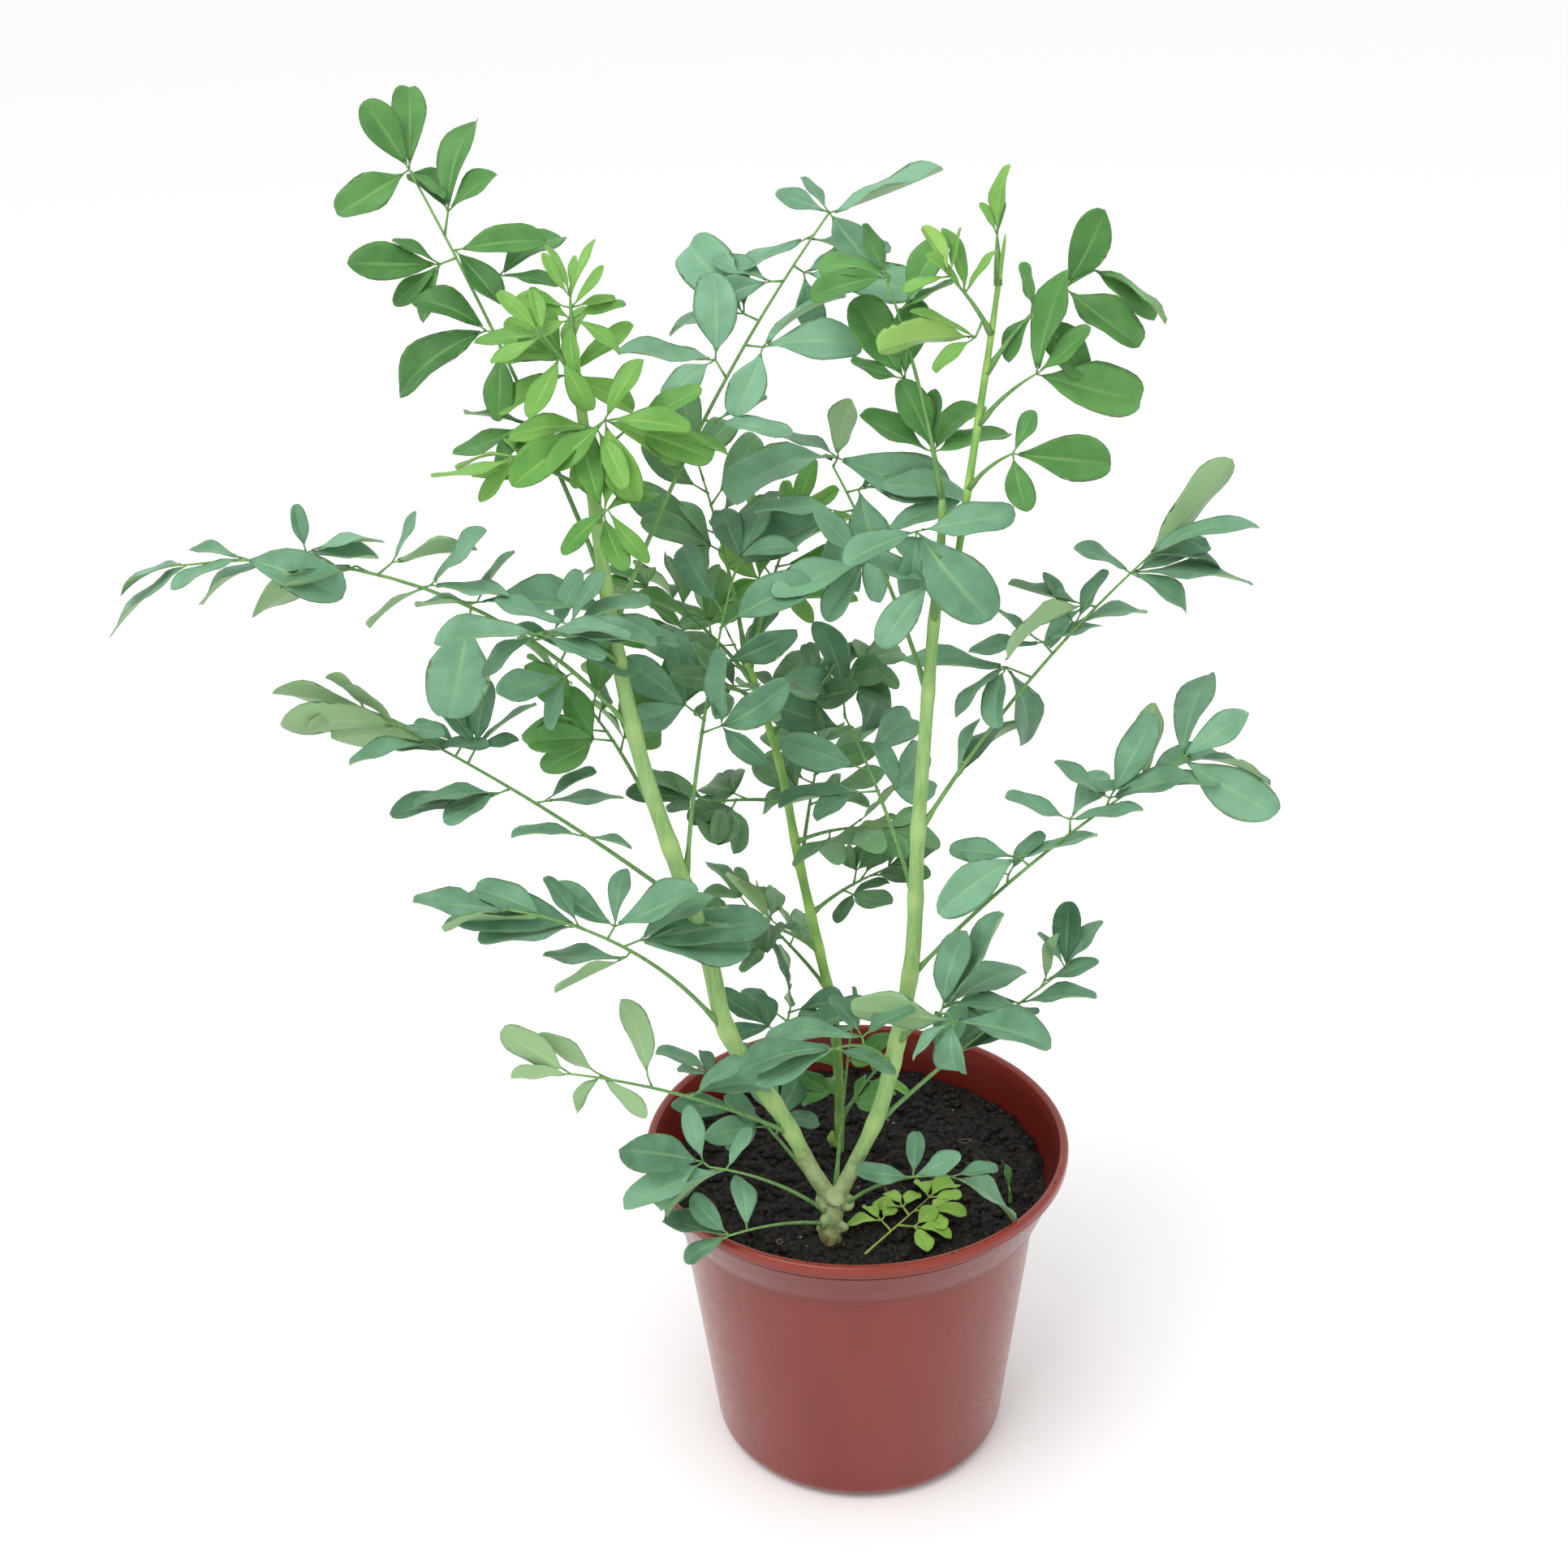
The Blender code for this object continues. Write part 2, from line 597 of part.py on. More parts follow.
def tree_of(mesh, pose=None):
    """A search tree over a mesh's faces, moved to a pose."""
    points = [vertex.co if pose is None else pose @ vertex.co for vertex in mesh.vertices]
    return BVHTree.FromPolygons(points, [tuple(face.vertices) for face in mesh.polygons])


def is_clear(tree, others):
    return not any(tree.overlap(other) for other in others)


def stalk_mesh(leaf, root, extra=0.0):
    """The leaf's stalk as a four-sided bar, with more joints the more it droops."""
    spans = STALK_SPANS + round(abs(leaf.droop) / SPAN_DROOP)
    reaches = [leaf.length * k / spans for k in range(spans + 1)]
    points = [leaf_frame(leaf, root, reach).translation for reach in reaches]
    shares = [reach / leaf.length for reach in reaches]
    radii = [STALK_RADIUS + (STALK_TIP_RADIUS - STALK_RADIUS) * share + extra for share in shares]
    return tube_mesh(points, radii, rounding=0)


def settle_stalk(stem_name, leaf, taken):
    """Turn the leaf about its stem, and move it out, until its stalk runs clear."""
    for turn in STALK_TURNS:
        turned = leaf._replace(azimuth=leaf.azimuth + turn)
        skin = stalk_root(stem_name, turned)
        heading = leaf_frame(turned, skin, 0.0).col[0].xyz
        for slide in STALK_SLIDES:
            root = skin + heading * slide * SLIDE_STEP
            if is_clear(tree_of(stalk_mesh(turned, root, extra=GAP / 2)), taken):
                return turned, root
    raise ValueError(f"no room for the leaf on the {stem_name} stem at {leaf.height}")


def settle_groups(leaf, root, others, own_stalk):
    """Place the leaflet groups one by one, each clear of all that is there already."""
    placed = []
    own = [own_stalk]
    for index in range(leaf.groups + 1):
        single = group_is_single(leaf, index)
        for scale in GROUP_SIZES:
            size = group_scale(leaf, index) * scale
            guard_outline = group_outline(size * CLEARANCE_SCALE, single)
            guard = plate_mesh(guard_outline, LEAF_THICKNESS + CLEARANCE)
            blades = plate_mesh(group_outline(size, single, False), LEAF_THICKNESS)
            turns = (
                turn for turn in GROUP_TURNS
                if is_clear(tree_of(guard, group_pose(leaf, root, index, turn)), others)
                and is_clear(tree_of(blades, group_pose(leaf, root, index, turn)), own)
            )
            turn = next(turns, None)
            if turn is not None:
                break
        if turn is None:
            continue
        pose = group_pose(leaf, root, index, turn)
        plate = plate_mesh(group_outline(size, single), LEAF_THICKNESS)
        plate.transform(pose)
        placed.append(plate)
        own.append(tree_of(blades, pose))
    return placed


def join_meshes(name, meshes):
    """One mesh that holds all the given ones as separate bodies."""
    joined = bmesh.new()
    for mesh in meshes:
        joined.from_mesh(mesh)
    result = bpy.data.meshes.new(name)
    joined.to_mesh(result)
    joined.free()
    return result


def make_leaf(name, leaf, root, plates):
    part = add_part(name, stalk_mesh(leaf, root), leaf.age)
    boolean(part, add_helper(f"{name}_leaflets", join_meshes(name, plates)), "UNION")
    return part


def make_foliage(solids):
    """Every leaf, settled in two rounds: first all the stalks, then all the leaflets."""
    depsgraph = bpy.context.evaluated_depsgraph_get()
    taken = [BVHTree.FromObject(solid, depsgraph) for solid in solids]
    jobs = []
    for stem_name, leaves in LEAVES.items():
        for number, leaf in enumerate(leaves, start=1):
            turned, root = settle_stalk(stem_name, leaf, taken + [job[-1] for job in jobs])
            stalk = tree_of(stalk_mesh(turned, root))
            jobs.append((f"{stem_name}_leaf_{number:02d}", turned, root, stalk))
    for name, leaf, root in (
        ("fallen_leaf", FALLEN_LEAF, FALLEN_ROOT),
        ("seedling", SEEDLING, SEEDLING_ROOT),
    ):
        jobs.append((name, leaf, root, tree_of(stalk_mesh(leaf, root))))
    blades = []
    for name, leaf, root, stalk in jobs:
        others = taken + blades + [job[-1] for job in jobs if job[0] != name]
        plates = settle_groups(leaf, root, others, stalk)
        blades += [tree_of(plate) for plate in plates]
        make_leaf(name, leaf, root, plates)


PARTS, HELPERS = start_scene()
hard_parts = [make_pot(), make_soil(), make_crown()]
hard_parts += [make_stem(name) for name in STEMS if name != "crown"]
make_foliage(hard_parts)
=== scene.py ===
# %% [markdown]
# # A rue plant in a nursery pot
# Rue is a small shrub with blue-green leaves that are divided into many leaflets. The
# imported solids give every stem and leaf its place. This lesson grows the finished plant
# round them: thin curved leaflets, jointed stems, crumbly soil and a moulded pot. The
# solids load first, because every piece made below rides on them and replaces one.

# %% Load the frame
import math
import random
from collections import namedtuple

import bmesh
import bpy
import numpy as np
from mathutils import Matrix, Vector, noise
from mathutils.kdtree import KDTree


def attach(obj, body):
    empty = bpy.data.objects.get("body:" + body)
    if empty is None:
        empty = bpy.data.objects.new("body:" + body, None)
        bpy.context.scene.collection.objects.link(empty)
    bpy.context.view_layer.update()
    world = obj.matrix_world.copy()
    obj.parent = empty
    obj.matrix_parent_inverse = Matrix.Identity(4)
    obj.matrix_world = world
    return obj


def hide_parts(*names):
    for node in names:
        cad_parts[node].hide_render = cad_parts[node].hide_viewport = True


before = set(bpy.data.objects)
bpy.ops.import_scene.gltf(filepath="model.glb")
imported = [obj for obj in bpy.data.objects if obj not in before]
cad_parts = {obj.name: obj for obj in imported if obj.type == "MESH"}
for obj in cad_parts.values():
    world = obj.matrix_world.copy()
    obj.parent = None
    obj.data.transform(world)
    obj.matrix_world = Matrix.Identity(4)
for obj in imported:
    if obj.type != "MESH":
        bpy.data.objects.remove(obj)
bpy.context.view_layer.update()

# %% [markdown]
# ## Helpers for materials
# Colours are easiest to choose as sRGB hex values, but shaders work in linear light, so
# one function converts them. A second function adds a shader node, sets it and links it.
# Patterns read each point's place in metres, so a scale is one over a size in metres.

# %% Colour and node helpers
NOISE, MATHS = "ShaderNodeTexNoise", "ShaderNodeMath"
MIX, RAMP = "ShaderNodeMix", "ShaderNodeValToRGB"
BASE, COVER, MIXED = 6, 7, 2  # where a colour mix takes its two colours and gives its result


def linear(code):
    """An sRGB hex colour as linear numbers."""
    shares = [int(code[k:k + 2], 16) / 255 for k in (1, 3, 5)]
    light = [c / 12.92 if c <= 0.04045 else ((c + 0.055) / 1.055) ** 2.4 for c in shares]
    return (*light, 1.0)


def add(tree, kind, links=None, stops=(), **settings):
    """Add a shader node with its settings, its colour stops if it has any, and its inputs.

    An input is a number, a hex colour, an output socket, or a node, for its first output.
    """
    node = tree.nodes.new(kind)
    for name, value in settings.items():
        setattr(node, name, value)
    while stops and len(node.color_ramp.elements) < len(stops):
        node.color_ramp.elements.new(0.5)
    for element, (position, code) in zip(node.color_ramp.elements if stops else (), stops):
        element.position = position
        element.color = linear(code)
    for name, value in (links or {}).items():
        if isinstance(value, bpy.types.Node):
            value = value.outputs[0]
        if isinstance(value, bpy.types.NodeSocket):
            tree.links.new(value, node.inputs[name])
        else:
            node.inputs[name].default_value = linear(value) if isinstance(value, str) else value
    return node


def glaze(tree, base, cover, mask, strength=1.0):
    """Lay one colour over another, as strongly as the mask and the strength say."""
    share = add(tree, MATHS, {0: mask, 1: strength}, operation="MULTIPLY")
    return add(tree, MIX, {0: share, BASE: base, COVER: cover}, data_type="RGBA").outputs[MIXED]


def per_mm(size):
    """A pattern's scale for features of that size in millimetres."""
    return 1000.0 / size


def new_material(name, roughness, ior, **constants):
    """A material whose shader's constants are set directly on its own sockets."""
    made = bpy.data.materials.new(name)
    made.use_nodes = True
    tree = made.node_tree
    shader = tree.nodes["Principled BSDF"]
    shader.inputs["Roughness"].default_value = roughness
    shader.inputs["IOR"].default_value = ior
    for socket, value in constants.items():
        shader.inputs[socket.replace("_", " ")].default_value = value
    place = add(tree, "ShaderNodeTexCoord").outputs["Object"]
    return made, tree, shader, place


print("mid grey #808080 is", round(linear("#808080")[0], 3), "in linear light")

# %% [markdown]
# ## Floor, light and camera
# The plant stands on a plain pale floor in a bright room of soft light, as for a
# catalogue picture. A white surround lights it evenly and puts the pale streaks along
# the pot's sides. One large soft light from above gives the leaves their lit tops.

# %% Floor
FLOOR_SIDE = 40.0
FLOOR_LEVEL = -0.0002  # a hair below the pot, so that the two surfaces don't fight
bpy.ops.mesh.primitive_plane_add(size=FLOOR_SIDE, location=(0, 0, FLOOR_LEVEL))
floor = bpy.context.active_object
floor.name = "studio_floor"
paper, tree, shader, place = new_material("matt_white_paper", 0.9, 1.45)
shader.inputs["Base Color"].default_value = linear("#fbfbfb")
floor.data.materials.append(paper)
print("floor is", FLOOR_SIDE, "m wide")

# %% Light
world = bpy.data.worlds.new("white_surround")
world.use_nodes = True
world.node_tree.nodes["Background"].inputs["Color"].default_value = (1.0, 1.0, 1.0, 1.0)
world.node_tree.nodes["Background"].inputs["Strength"].default_value = 1.0
bpy.context.scene.world = world
bpy.context.scene.view_settings.view_transform = "Standard"


def soft_light(name, place, target, side, watts):
    """A square soft light that faces a target."""
    lamp = bpy.data.lights.new(name, "AREA")
    lamp.size = side
    lamp.energy = watts
    holder = bpy.data.objects.new(name, lamp)
    holder.location = place
    holder.rotation_euler = (Vector(target) - Vector(place)).to_track_quat("-Z", "Y").to_euler()
    bpy.context.scene.collection.objects.link(holder)
    return holder


key = soft_light("overhead_softbox", (-0.5, -0.6, 1.5), (0, 0, 0.25), 0.9, 11.0)
print("light sources:", key.name, "and", world.name)

# %% Camera
CAMERA_PLACE = Vector((-0.021, -0.601, 0.532))
CAMERA_TILT = 25.7  # degrees below the horizon
CAMERA_ROLL = -1.5

eye = bpy.data.cameras.new("camera")
eye.lens = 50.0
eye.sensor_width = 36.0
camera = bpy.data.objects.new("camera", eye)
tilt = Matrix.Rotation(math.radians(90 - CAMERA_TILT), 4, "X")
camera.matrix_world = (
    Matrix.Translation(CAMERA_PLACE) @ tilt @ Matrix.Rotation(math.radians(CAMERA_ROLL), 4, "Z")
)
bpy.context.scene.collection.objects.link(camera)
bpy.context.scene.camera = camera
print("camera looks down by", CAMERA_TILT, "degrees")

# %% [markdown]
# ## A collector for mesh parts
# A leaf is a stalk and many blades, all in one object. Building each as an object and
# joining them would be slow, so a small class gathers points and faces, with the marks
# that the materials read: how far along the piece a point is, how far across, and a tone
# that makes every leaflet a little different. Faces on a leaf's underside are marked too.

# %% Mesh collector
class Parts:
    """Points, faces and marks for one object."""

    def __init__(self):
        self.points, self.marks, self.faces, self.slots, self.under = [], [], [], [], []

    def put(self, points, marks, faces, slot=0, under=None):
        """Add a body: marks holds (along, across, tone) for every point."""
        first = len(self.points)
        self.points.extend(points)
        self.marks.extend(marks)
        self.faces.extend(tuple(first + k for k in face) for face in faces)
        self.slots.extend([slot] * len(faces))
        self.under.extend(under or [0.0] * len(faces))

    def make(self, name, materials):
        """The finished object, shaded smooth."""
        mesh = bpy.data.meshes.new(name)
        mesh.from_pydata(self.points, [], self.faces)
        for material in materials:
            mesh.materials.append(material)
        mesh.polygons.foreach_set("material_index", self.slots)
        marks = np.array(self.marks, np.float32)
        for column, label in enumerate(("along", "across", "tone")):
            layer = mesh.attributes.new(label, "FLOAT", "POINT")
            layer.data.foreach_set("value", np.ascontiguousarray(marks[:, column]))
        layer = mesh.attributes.new("underside", "FLOAT", "FACE")
        layer.data.foreach_set("value", self.under)
        mesh.shade_smooth()
        made = bpy.data.objects.new(name, mesh)
        bpy.context.scene.collection.objects.link(made)
        return made


def settle(piece, slot, *nodes):
    """The piece rides on the plant's one body and stands for these solids."""
    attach(piece, "root")
    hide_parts(*nodes)


def frames_along(path):
    """A frame at each point of a path, turned as little as possible from the last."""
    path = [Vector(point) for point in path]
    frames = []
    side = None
    for k, point in enumerate(path):
        ahead = (path[min(k + 1, len(path) - 1)] - path[max(k - 1, 0)]).normalized()
        if side is None:
            side = ahead.orthogonal().normalized()
        side = (side - ahead * side.dot(ahead)).normalized()
        frames.append((point, ahead, side, ahead.cross(side)))
    return frames


def tube_faces(rings, sides):
    """The faces of a tube of rings, with its two ends closed."""
    faces = []
    for k in range(rings - 1):
        for step in range(sides):
            a, b = k * sides + step, k * sides + (step + 1) % sides
            faces.append((a, b, b + sides, a + sides))
    faces.append(tuple(reversed(range(sides))))
    faces.append(tuple(range((rings - 1) * sides, rings * sides)))
    return faces


def tube(parts, path, radii, sides=8, slot=0, tone=0.5):
    """A closed tube along a path, with its own radius at each point."""
    points, marks = [], []
    rings = len(path)
    for k, (point, _, side, other) in enumerate(frames_along(path)):
        for step in range(sides):
            angle = math.tau * step / sides
            points.append(point + radii[k] * (math.cos(angle) * side + math.sin(angle) * other))
            marks.append((k / (rings - 1), step / sides, tone))
    parts.put(points, marks, tube_faces(rings, sides), slot)


print("collector ready")

# %% [markdown]
# ## The pot
# A nursery pot is injection moulded from polypropylene. The mould leaves a rolled lip, a
# collar that steps in to the wall, and a softly rounded heel. A turned profile gives all
# of that, so its outline is a half section spun round the axis. The drain holes are cut
# afterwards. The profile here follows the solid's, with many more and rounder points.

# %% Pot dimensions
RIM_RADIUS = 0.070
POT_HEIGHT = 0.1125
WALL = 0.0014
LIP_WIDTH = 0.0030
LIP_HEIGHT = 0.0045
LIP_CORNER = 0.00135
LIP_OVERHANG = 0.0014
COLLAR_FOOT_HEIGHT = 0.0925
COLLAR_FOOT_RADIUS = 0.0625
COLLAR_STEP = 0.0012
SHOULDER_RADIUS = 0.0598
BASE_RADIUS = 0.0498
HEEL_RADIUS = 0.006
DRAIN_COUNT = 6
DRAIN_RADIUS = 0.0045
DRAIN_RING_RADIUS = 0.031
SOIL_HEIGHT = 0.100


def inner_radius(height):
    """The radius of the pot's inside at a height."""
    if height >= COLLAR_FOOT_HEIGHT:
        share = (height - COLLAR_FOOT_HEIGHT) / (POT_HEIGHT - COLLAR_FOOT_HEIGHT)
        flare = RIM_RADIUS - LIP_WIDTH - COLLAR_FOOT_RADIUS + WALL
        return COLLAR_FOOT_RADIUS - WALL + share * flare
    share = (height - HEEL_RADIUS) / (COLLAR_FOOT_HEIGHT - HEEL_RADIUS)
    return BASE_RADIUS - WALL + share * (SHOULDER_RADIUS - BASE_RADIUS)


def arc(centre, radius, start, end, steps):
    """Profile points on an arc, with angles in degrees."""
    angles = [math.radians(start + (end - start) * k / steps) for k in range(steps + 1)]
    return [(centre[0] + radius * math.cos(a), centre[1] + radius * math.sin(a)) for a in angles]


print("the pot is", round(POT_HEIGHT * 1000, 1), "mm tall")

# %% [markdown]
# ### Polypropylene
# Moulded polypropylene is satin, not mirror-bright: roughness near 0.35 and an IOR of
# 1.49. To the eye that gives broad, soft, pale streaks. The pigment is never quite even,
# and handling leaves faint scuffs, so a slow noise shifts the colour and a finer one the
# roughness. The pebbly skin of the mould is about 0.5 mm across.

# %% Pot material
polypropylene, tree, shader, place = new_material(
    "moulded_polypropylene_brick_red", 0.34, 1.49,
    Coat_Weight=0.6, Coat_Roughness=0.14, Coat_IOR=1.35, Specular_IOR_Level=0.25,
)
flow = add(tree, "ShaderNodeMapping", {"Vector": place, "Scale": (1.0, 1.0, 0.18)})  # up the wall
cloud = add(tree, NOISE, {"Vector": flow, "Scale": per_mm(22), "Detail": 3.0})
pigment = add(tree, RAMP, {"Fac": cloud}, stops=[(0.30, "#752a1f"), (0.70, "#803126")])
height = add(tree, "ShaderNodeSeparateXYZ", {"Vector": place}).outputs["Z"]
# The darker collar band is painted shade: it stands for the lip's shadow on the collar.
for band_foot, steepness, strength, colour in (
    (COLLAR_FOOT_HEIGHT - 0.001, 900.0, 0.8, "#68140a"),  # the collar, darker: painted shade of the lip's shadow
    (POT_HEIGHT - LIP_HEIGHT, 400.0, 1.0, "#842f20"),  # the lip
):
    above = add(tree, MATHS, {0: height, 1: band_foot}, operation="SUBTRACT")
    band = add(tree, MATHS, {0: above, 1: steepness}, operation="MULTIPLY", use_clamp=True)
    pigment = glaze(tree, pigment, colour, band, strength)
specks = add(tree, "ShaderNodeTexVoronoi", {"Vector": place, "Scale": per_mm(5.5)})
dust = add(tree, RAMP, {"Fac": specks}, stops=[(0.05, "#ffffff"), (0.075, "#000000")])
tree.links.new(glaze(tree, pigment, "#4a2a22", dust, 0.35), shader.inputs["Base Color"])
scuffs = add(tree, NOISE, {"Vector": place, "Scale": per_mm(3), "Detail": 6.0})
rough = add(
    tree, "ShaderNodeMapRange",
    {"Value": scuffs, "From Min": 0.3, "From Max": 0.8, "To Min": 0.30, "To Max": 0.46},
)
tree.links.new(rough.outputs["Result"], shader.inputs["Roughness"])
skin = add(tree, NOISE, {"Vector": place, "Scale": per_mm(0.5), "Detail": 2.0})
bump = add(tree, "ShaderNodeBump", {"Height": skin, "Strength": 0.12, "Distance": 0.00005})
tree.links.new(bump.outputs["Normal"], shader.inputs["Normal"])
print("made", polypropylene.name)

# %% Turn the pot
FLOOR_FILLET = 0.0045  # the inside corner, between the wall and the pot's floor
STEP_FILLET = 0.0006
SHOULDER_FILLET = 0.0007
WALL_RISE = 0.0835  # from the heel to just under the shoulder
lip_foot = POT_HEIGHT - LIP_HEIGHT
lip_top = POT_HEIGHT - LIP_CORNER
lip_side = RIM_RADIUS - LIP_CORNER
groove = RIM_RADIUS - LIP_OVERHANG - 0.0015  # the moulding groove under the lip
profile = [(0.0, WALL), (BASE_RADIUS - HEEL_RADIUS - 0.002, WALL)]
profile += arc((BASE_RADIUS - WALL - FLOOR_FILLET, HEEL_RADIUS), FLOOR_FILLET, -80, -10, 5)
profile += [(inner_radius(h), h) for h in (0.02, 0.05, 0.0895, 0.0935, 0.100, 0.1055)]
profile += [(inner_radius(lip_foot) + 0.0002, lip_foot)]
profile += arc((RIM_RADIUS - LIP_WIDTH + LIP_CORNER, lip_top), LIP_CORNER, 180, 90, 6)
profile += arc((lip_side, lip_top), LIP_CORNER, 90, 0, 6)
profile += arc((lip_side, lip_foot + LIP_CORNER), LIP_CORNER, 0, -80, 6)
profile += [(groove + 0.0001, lip_foot + 0.0003), (groove, lip_foot - 0.0008)]
profile += [(groove + 0.0006, lip_foot - 0.0017), (0.0660, 0.1020), (0.0640, 0.0965)]
step = (COLLAR_FOOT_RADIUS - STEP_FILLET, COLLAR_FOOT_HEIGHT + STEP_FILLET)
profile += arc(step, STEP_FILLET, 15, -75, 3)
shoulder = (SHOULDER_RADIUS + SHOULDER_FILLET, COLLAR_FOOT_HEIGHT - COLLAR_STEP + 0.0003)
profile += arc(shoulder, SHOULDER_FILLET, 100, 185, 3)
profile += [(SHOULDER_RADIUS - 0.0002, COLLAR_FOOT_HEIGHT - 0.003)]
for share in (5 / 6, 4 / 6, 3 / 6, 2 / 6, 1 / 6):
    radius = BASE_RADIUS + (SHOULDER_RADIUS - BASE_RADIUS) * share
    profile += [(radius, HEEL_RADIUS + WALL_RISE * share)]
profile += arc((BASE_RADIUS - HEEL_RADIUS, HEEL_RADIUS), HEEL_RADIUS, 0, -90, 10)
profile += [(0.0, 0.0)]
mesh = bpy.data.meshes.new("nursery_pot")
edges = [(k, k + 1) for k in range(len(profile) - 1)]
mesh.from_pydata([(r, 0.0, h) for r, h in profile], edges, [])
pot = bpy.data.objects.new("nursery_pot", mesh)
bpy.context.scene.collection.objects.link(pot)
spin = pot.modifiers.new("Turn", "SCREW")
spin.steps = spin.render_steps = 160
spin.use_merge_vertices = True
spin.merge_threshold = 0.00001
mesh.materials.append(polypropylene)
print("profile has", len(profile), "points")


# %% Cut the drain holes
def apply_modifiers(item):
    """Keep the shape that the modifiers give and drop the modifiers."""
    evaluated = item.evaluated_get(bpy.context.evaluated_depsgraph_get())
    shape = bpy.data.meshes.new_from_object(evaluated)
    item.modifiers.clear()
    item.data = shape


drills = bmesh.new()
for k in range(DRAIN_COUNT):
    turn = Matrix.Rotation(math.tau * k / DRAIN_COUNT, 4, "Z")
    bmesh.ops.create_cone(
        drills, cap_ends=True, segments=28, radius1=DRAIN_RADIUS, radius2=DRAIN_RADIUS,
        depth=WALL * 4, matrix=turn @ Matrix.Translation((DRAIN_RING_RADIUS, 0, 0)),
    )
mesh = bpy.data.meshes.new("drills")
drills.to_mesh(mesh)
drills.free()
drill_set = bpy.data.objects.new("drills", mesh)
bpy.context.scene.collection.objects.link(drill_set)
cut = pot.modifiers.new("Drains", "BOOLEAN")
cut.operation = "DIFFERENCE"
cut.object = drill_set
apply_modifiers(pot)
bpy.data.objects.remove(drill_set)
pot.data.shade_smooth()
pot.data.set_sharp_from_angle(angle=math.radians(32))
settle(pot, "moulded_pot", "pot")
print("pot has", len(pot.data.polygons), "faces")

# %% [markdown]
# ## The soil
# Potting mix is crumbs of peat with a few pale grains of perlite, splinters of bark and
# hair-thin roots. A displaced sheet gives the lumpy ground between them. The crumbs are
# small rough balls scattered over it, each its own size, half sunk. A fixed seed gives
# the same soil every time.

# %% Soil materials
peat, tree, shader, place = new_material("moist_peat", 0.72, 1.40)
grain = add(tree, NOISE, {"Vector": place, "Scale": per_mm(1.2), "Detail": 6.0})
patch = add(tree, NOISE, {"Vector": place, "Scale": per_mm(9), "Detail": 3.0})
browns = [(0.38, "#060504"), (0.56, "#14100d"), (0.70, "#4a3b2e")]
dark = add(tree, RAMP, {"Fac": grain}, stops=browns)
tree.links.new(glaze(tree, dark, "#17110d", patch, 0.3), shader.inputs["Base Color"])
bump = add(tree, "ShaderNodeBump", {"Height": grain, "Strength": 0.9, "Distance": 0.0006})
tree.links.new(bump.outputs["Normal"], shader.inputs["Normal"])

# Perlite is chalky and pale, bark is brown and split, and a dry root is a straw colour.
SCRAPS = []
for name, roughness, ior, size, detail, low, high in (
    ("expanded_perlite", 0.8, 1.5, 0.5, 2.0, "#9a8f7c", "#cfc6b2"),
    ("shredded_bark", 0.8, 1.45, 1.0, 4.0, "#2a1810", "#4d3020"),
    ("dry_root_fibre", 0.7, 1.45, 2.0, 2.0, "#5a4630", "#8c7350"),
):
    scrap, tree, shader, place = new_material(name, roughness, ior)
    grain = add(tree, NOISE, {"Vector": place, "Scale": per_mm(size), "Detail": detail})
    tint = add(tree, RAMP, {"Fac": grain}, stops=[(0.3, low), (0.7, high)])
    tree.links.new(tint.outputs["Color"], shader.inputs["Base Color"])
    SCRAPS.append(scrap)
print("soil materials:", peat.name, "and", ", ".join(scrap.name for scrap in SCRAPS))


# %% Soil surface
def ground(x, y):
    """The height of the soil's surface: broad lumps, clods, and a dip at the rim."""
    lump = noise.noise(Vector((x * 45, y * 45, 1.7))) * 0.0016
    clod = noise.noise(Vector((x * 160, y * 160, 4.1))) * 0.0016
    grit = noise.noise(Vector((x * 480, y * 480, 9.3))) * 0.0008
    radius = math.hypot(x, y)
    dip = -0.0016 * max(0.0, (radius - 0.050) / 0.013) ** 2
    return SOIL_HEIGHT - 0.0004 + lump + clod + grit + dip


soil_parts = Parts()
rings, spokes = 62, 220
soil_edge = inner_radius(SOIL_HEIGHT - 0.002) + 0.0002
points = [Vector((0, 0, ground(0, 0)))]
for ring in range(1, rings + 1):
    radius = soil_edge * ring / rings
    for spoke in range(spokes):
        angle = math.tau * (spoke + 0.5 * (ring % 2)) / spokes
        x, y = radius * math.cos(angle), radius * math.sin(angle)
        points.append(Vector((x, y, ground(x, y))))
SOIL_FOOT = 0.0017  # just above the pot's floor
skirt = [(inner_radius(0.0905) - 0.0003, 0.0905), (inner_radius(0.006) - 0.0006, 0.0063)]
skirt += [(0.0435, SOIL_FOOT)]
for radius, z in skirt:
    for spoke in range(spokes):
        angle = math.tau * spoke / spokes
        points.append(Vector((radius * math.cos(angle), radius * math.sin(angle), z)))
points.append(Vector((0, 0, SOIL_FOOT)))
faces = [(0, 1 + k, 1 + (k + 1) % spokes) for k in range(spokes)]
for ring in range(rings + len(skirt) - 1):
    for k in range(spokes):
        a, b = 1 + ring * spokes + k, 1 + ring * spokes + (k + 1) % spokes
        faces.append((a, a + spokes, b + spokes, b))
last = 1 + (rings + len(skirt) - 1) * spokes
faces += [(last + (k + 1) % spokes, last + k, len(points) - 1) for k in range(spokes)]
soil_parts.put(points, [(0, 0, 0.5)] * len(points), faces)
print("soil ground has", len(faces), "faces")


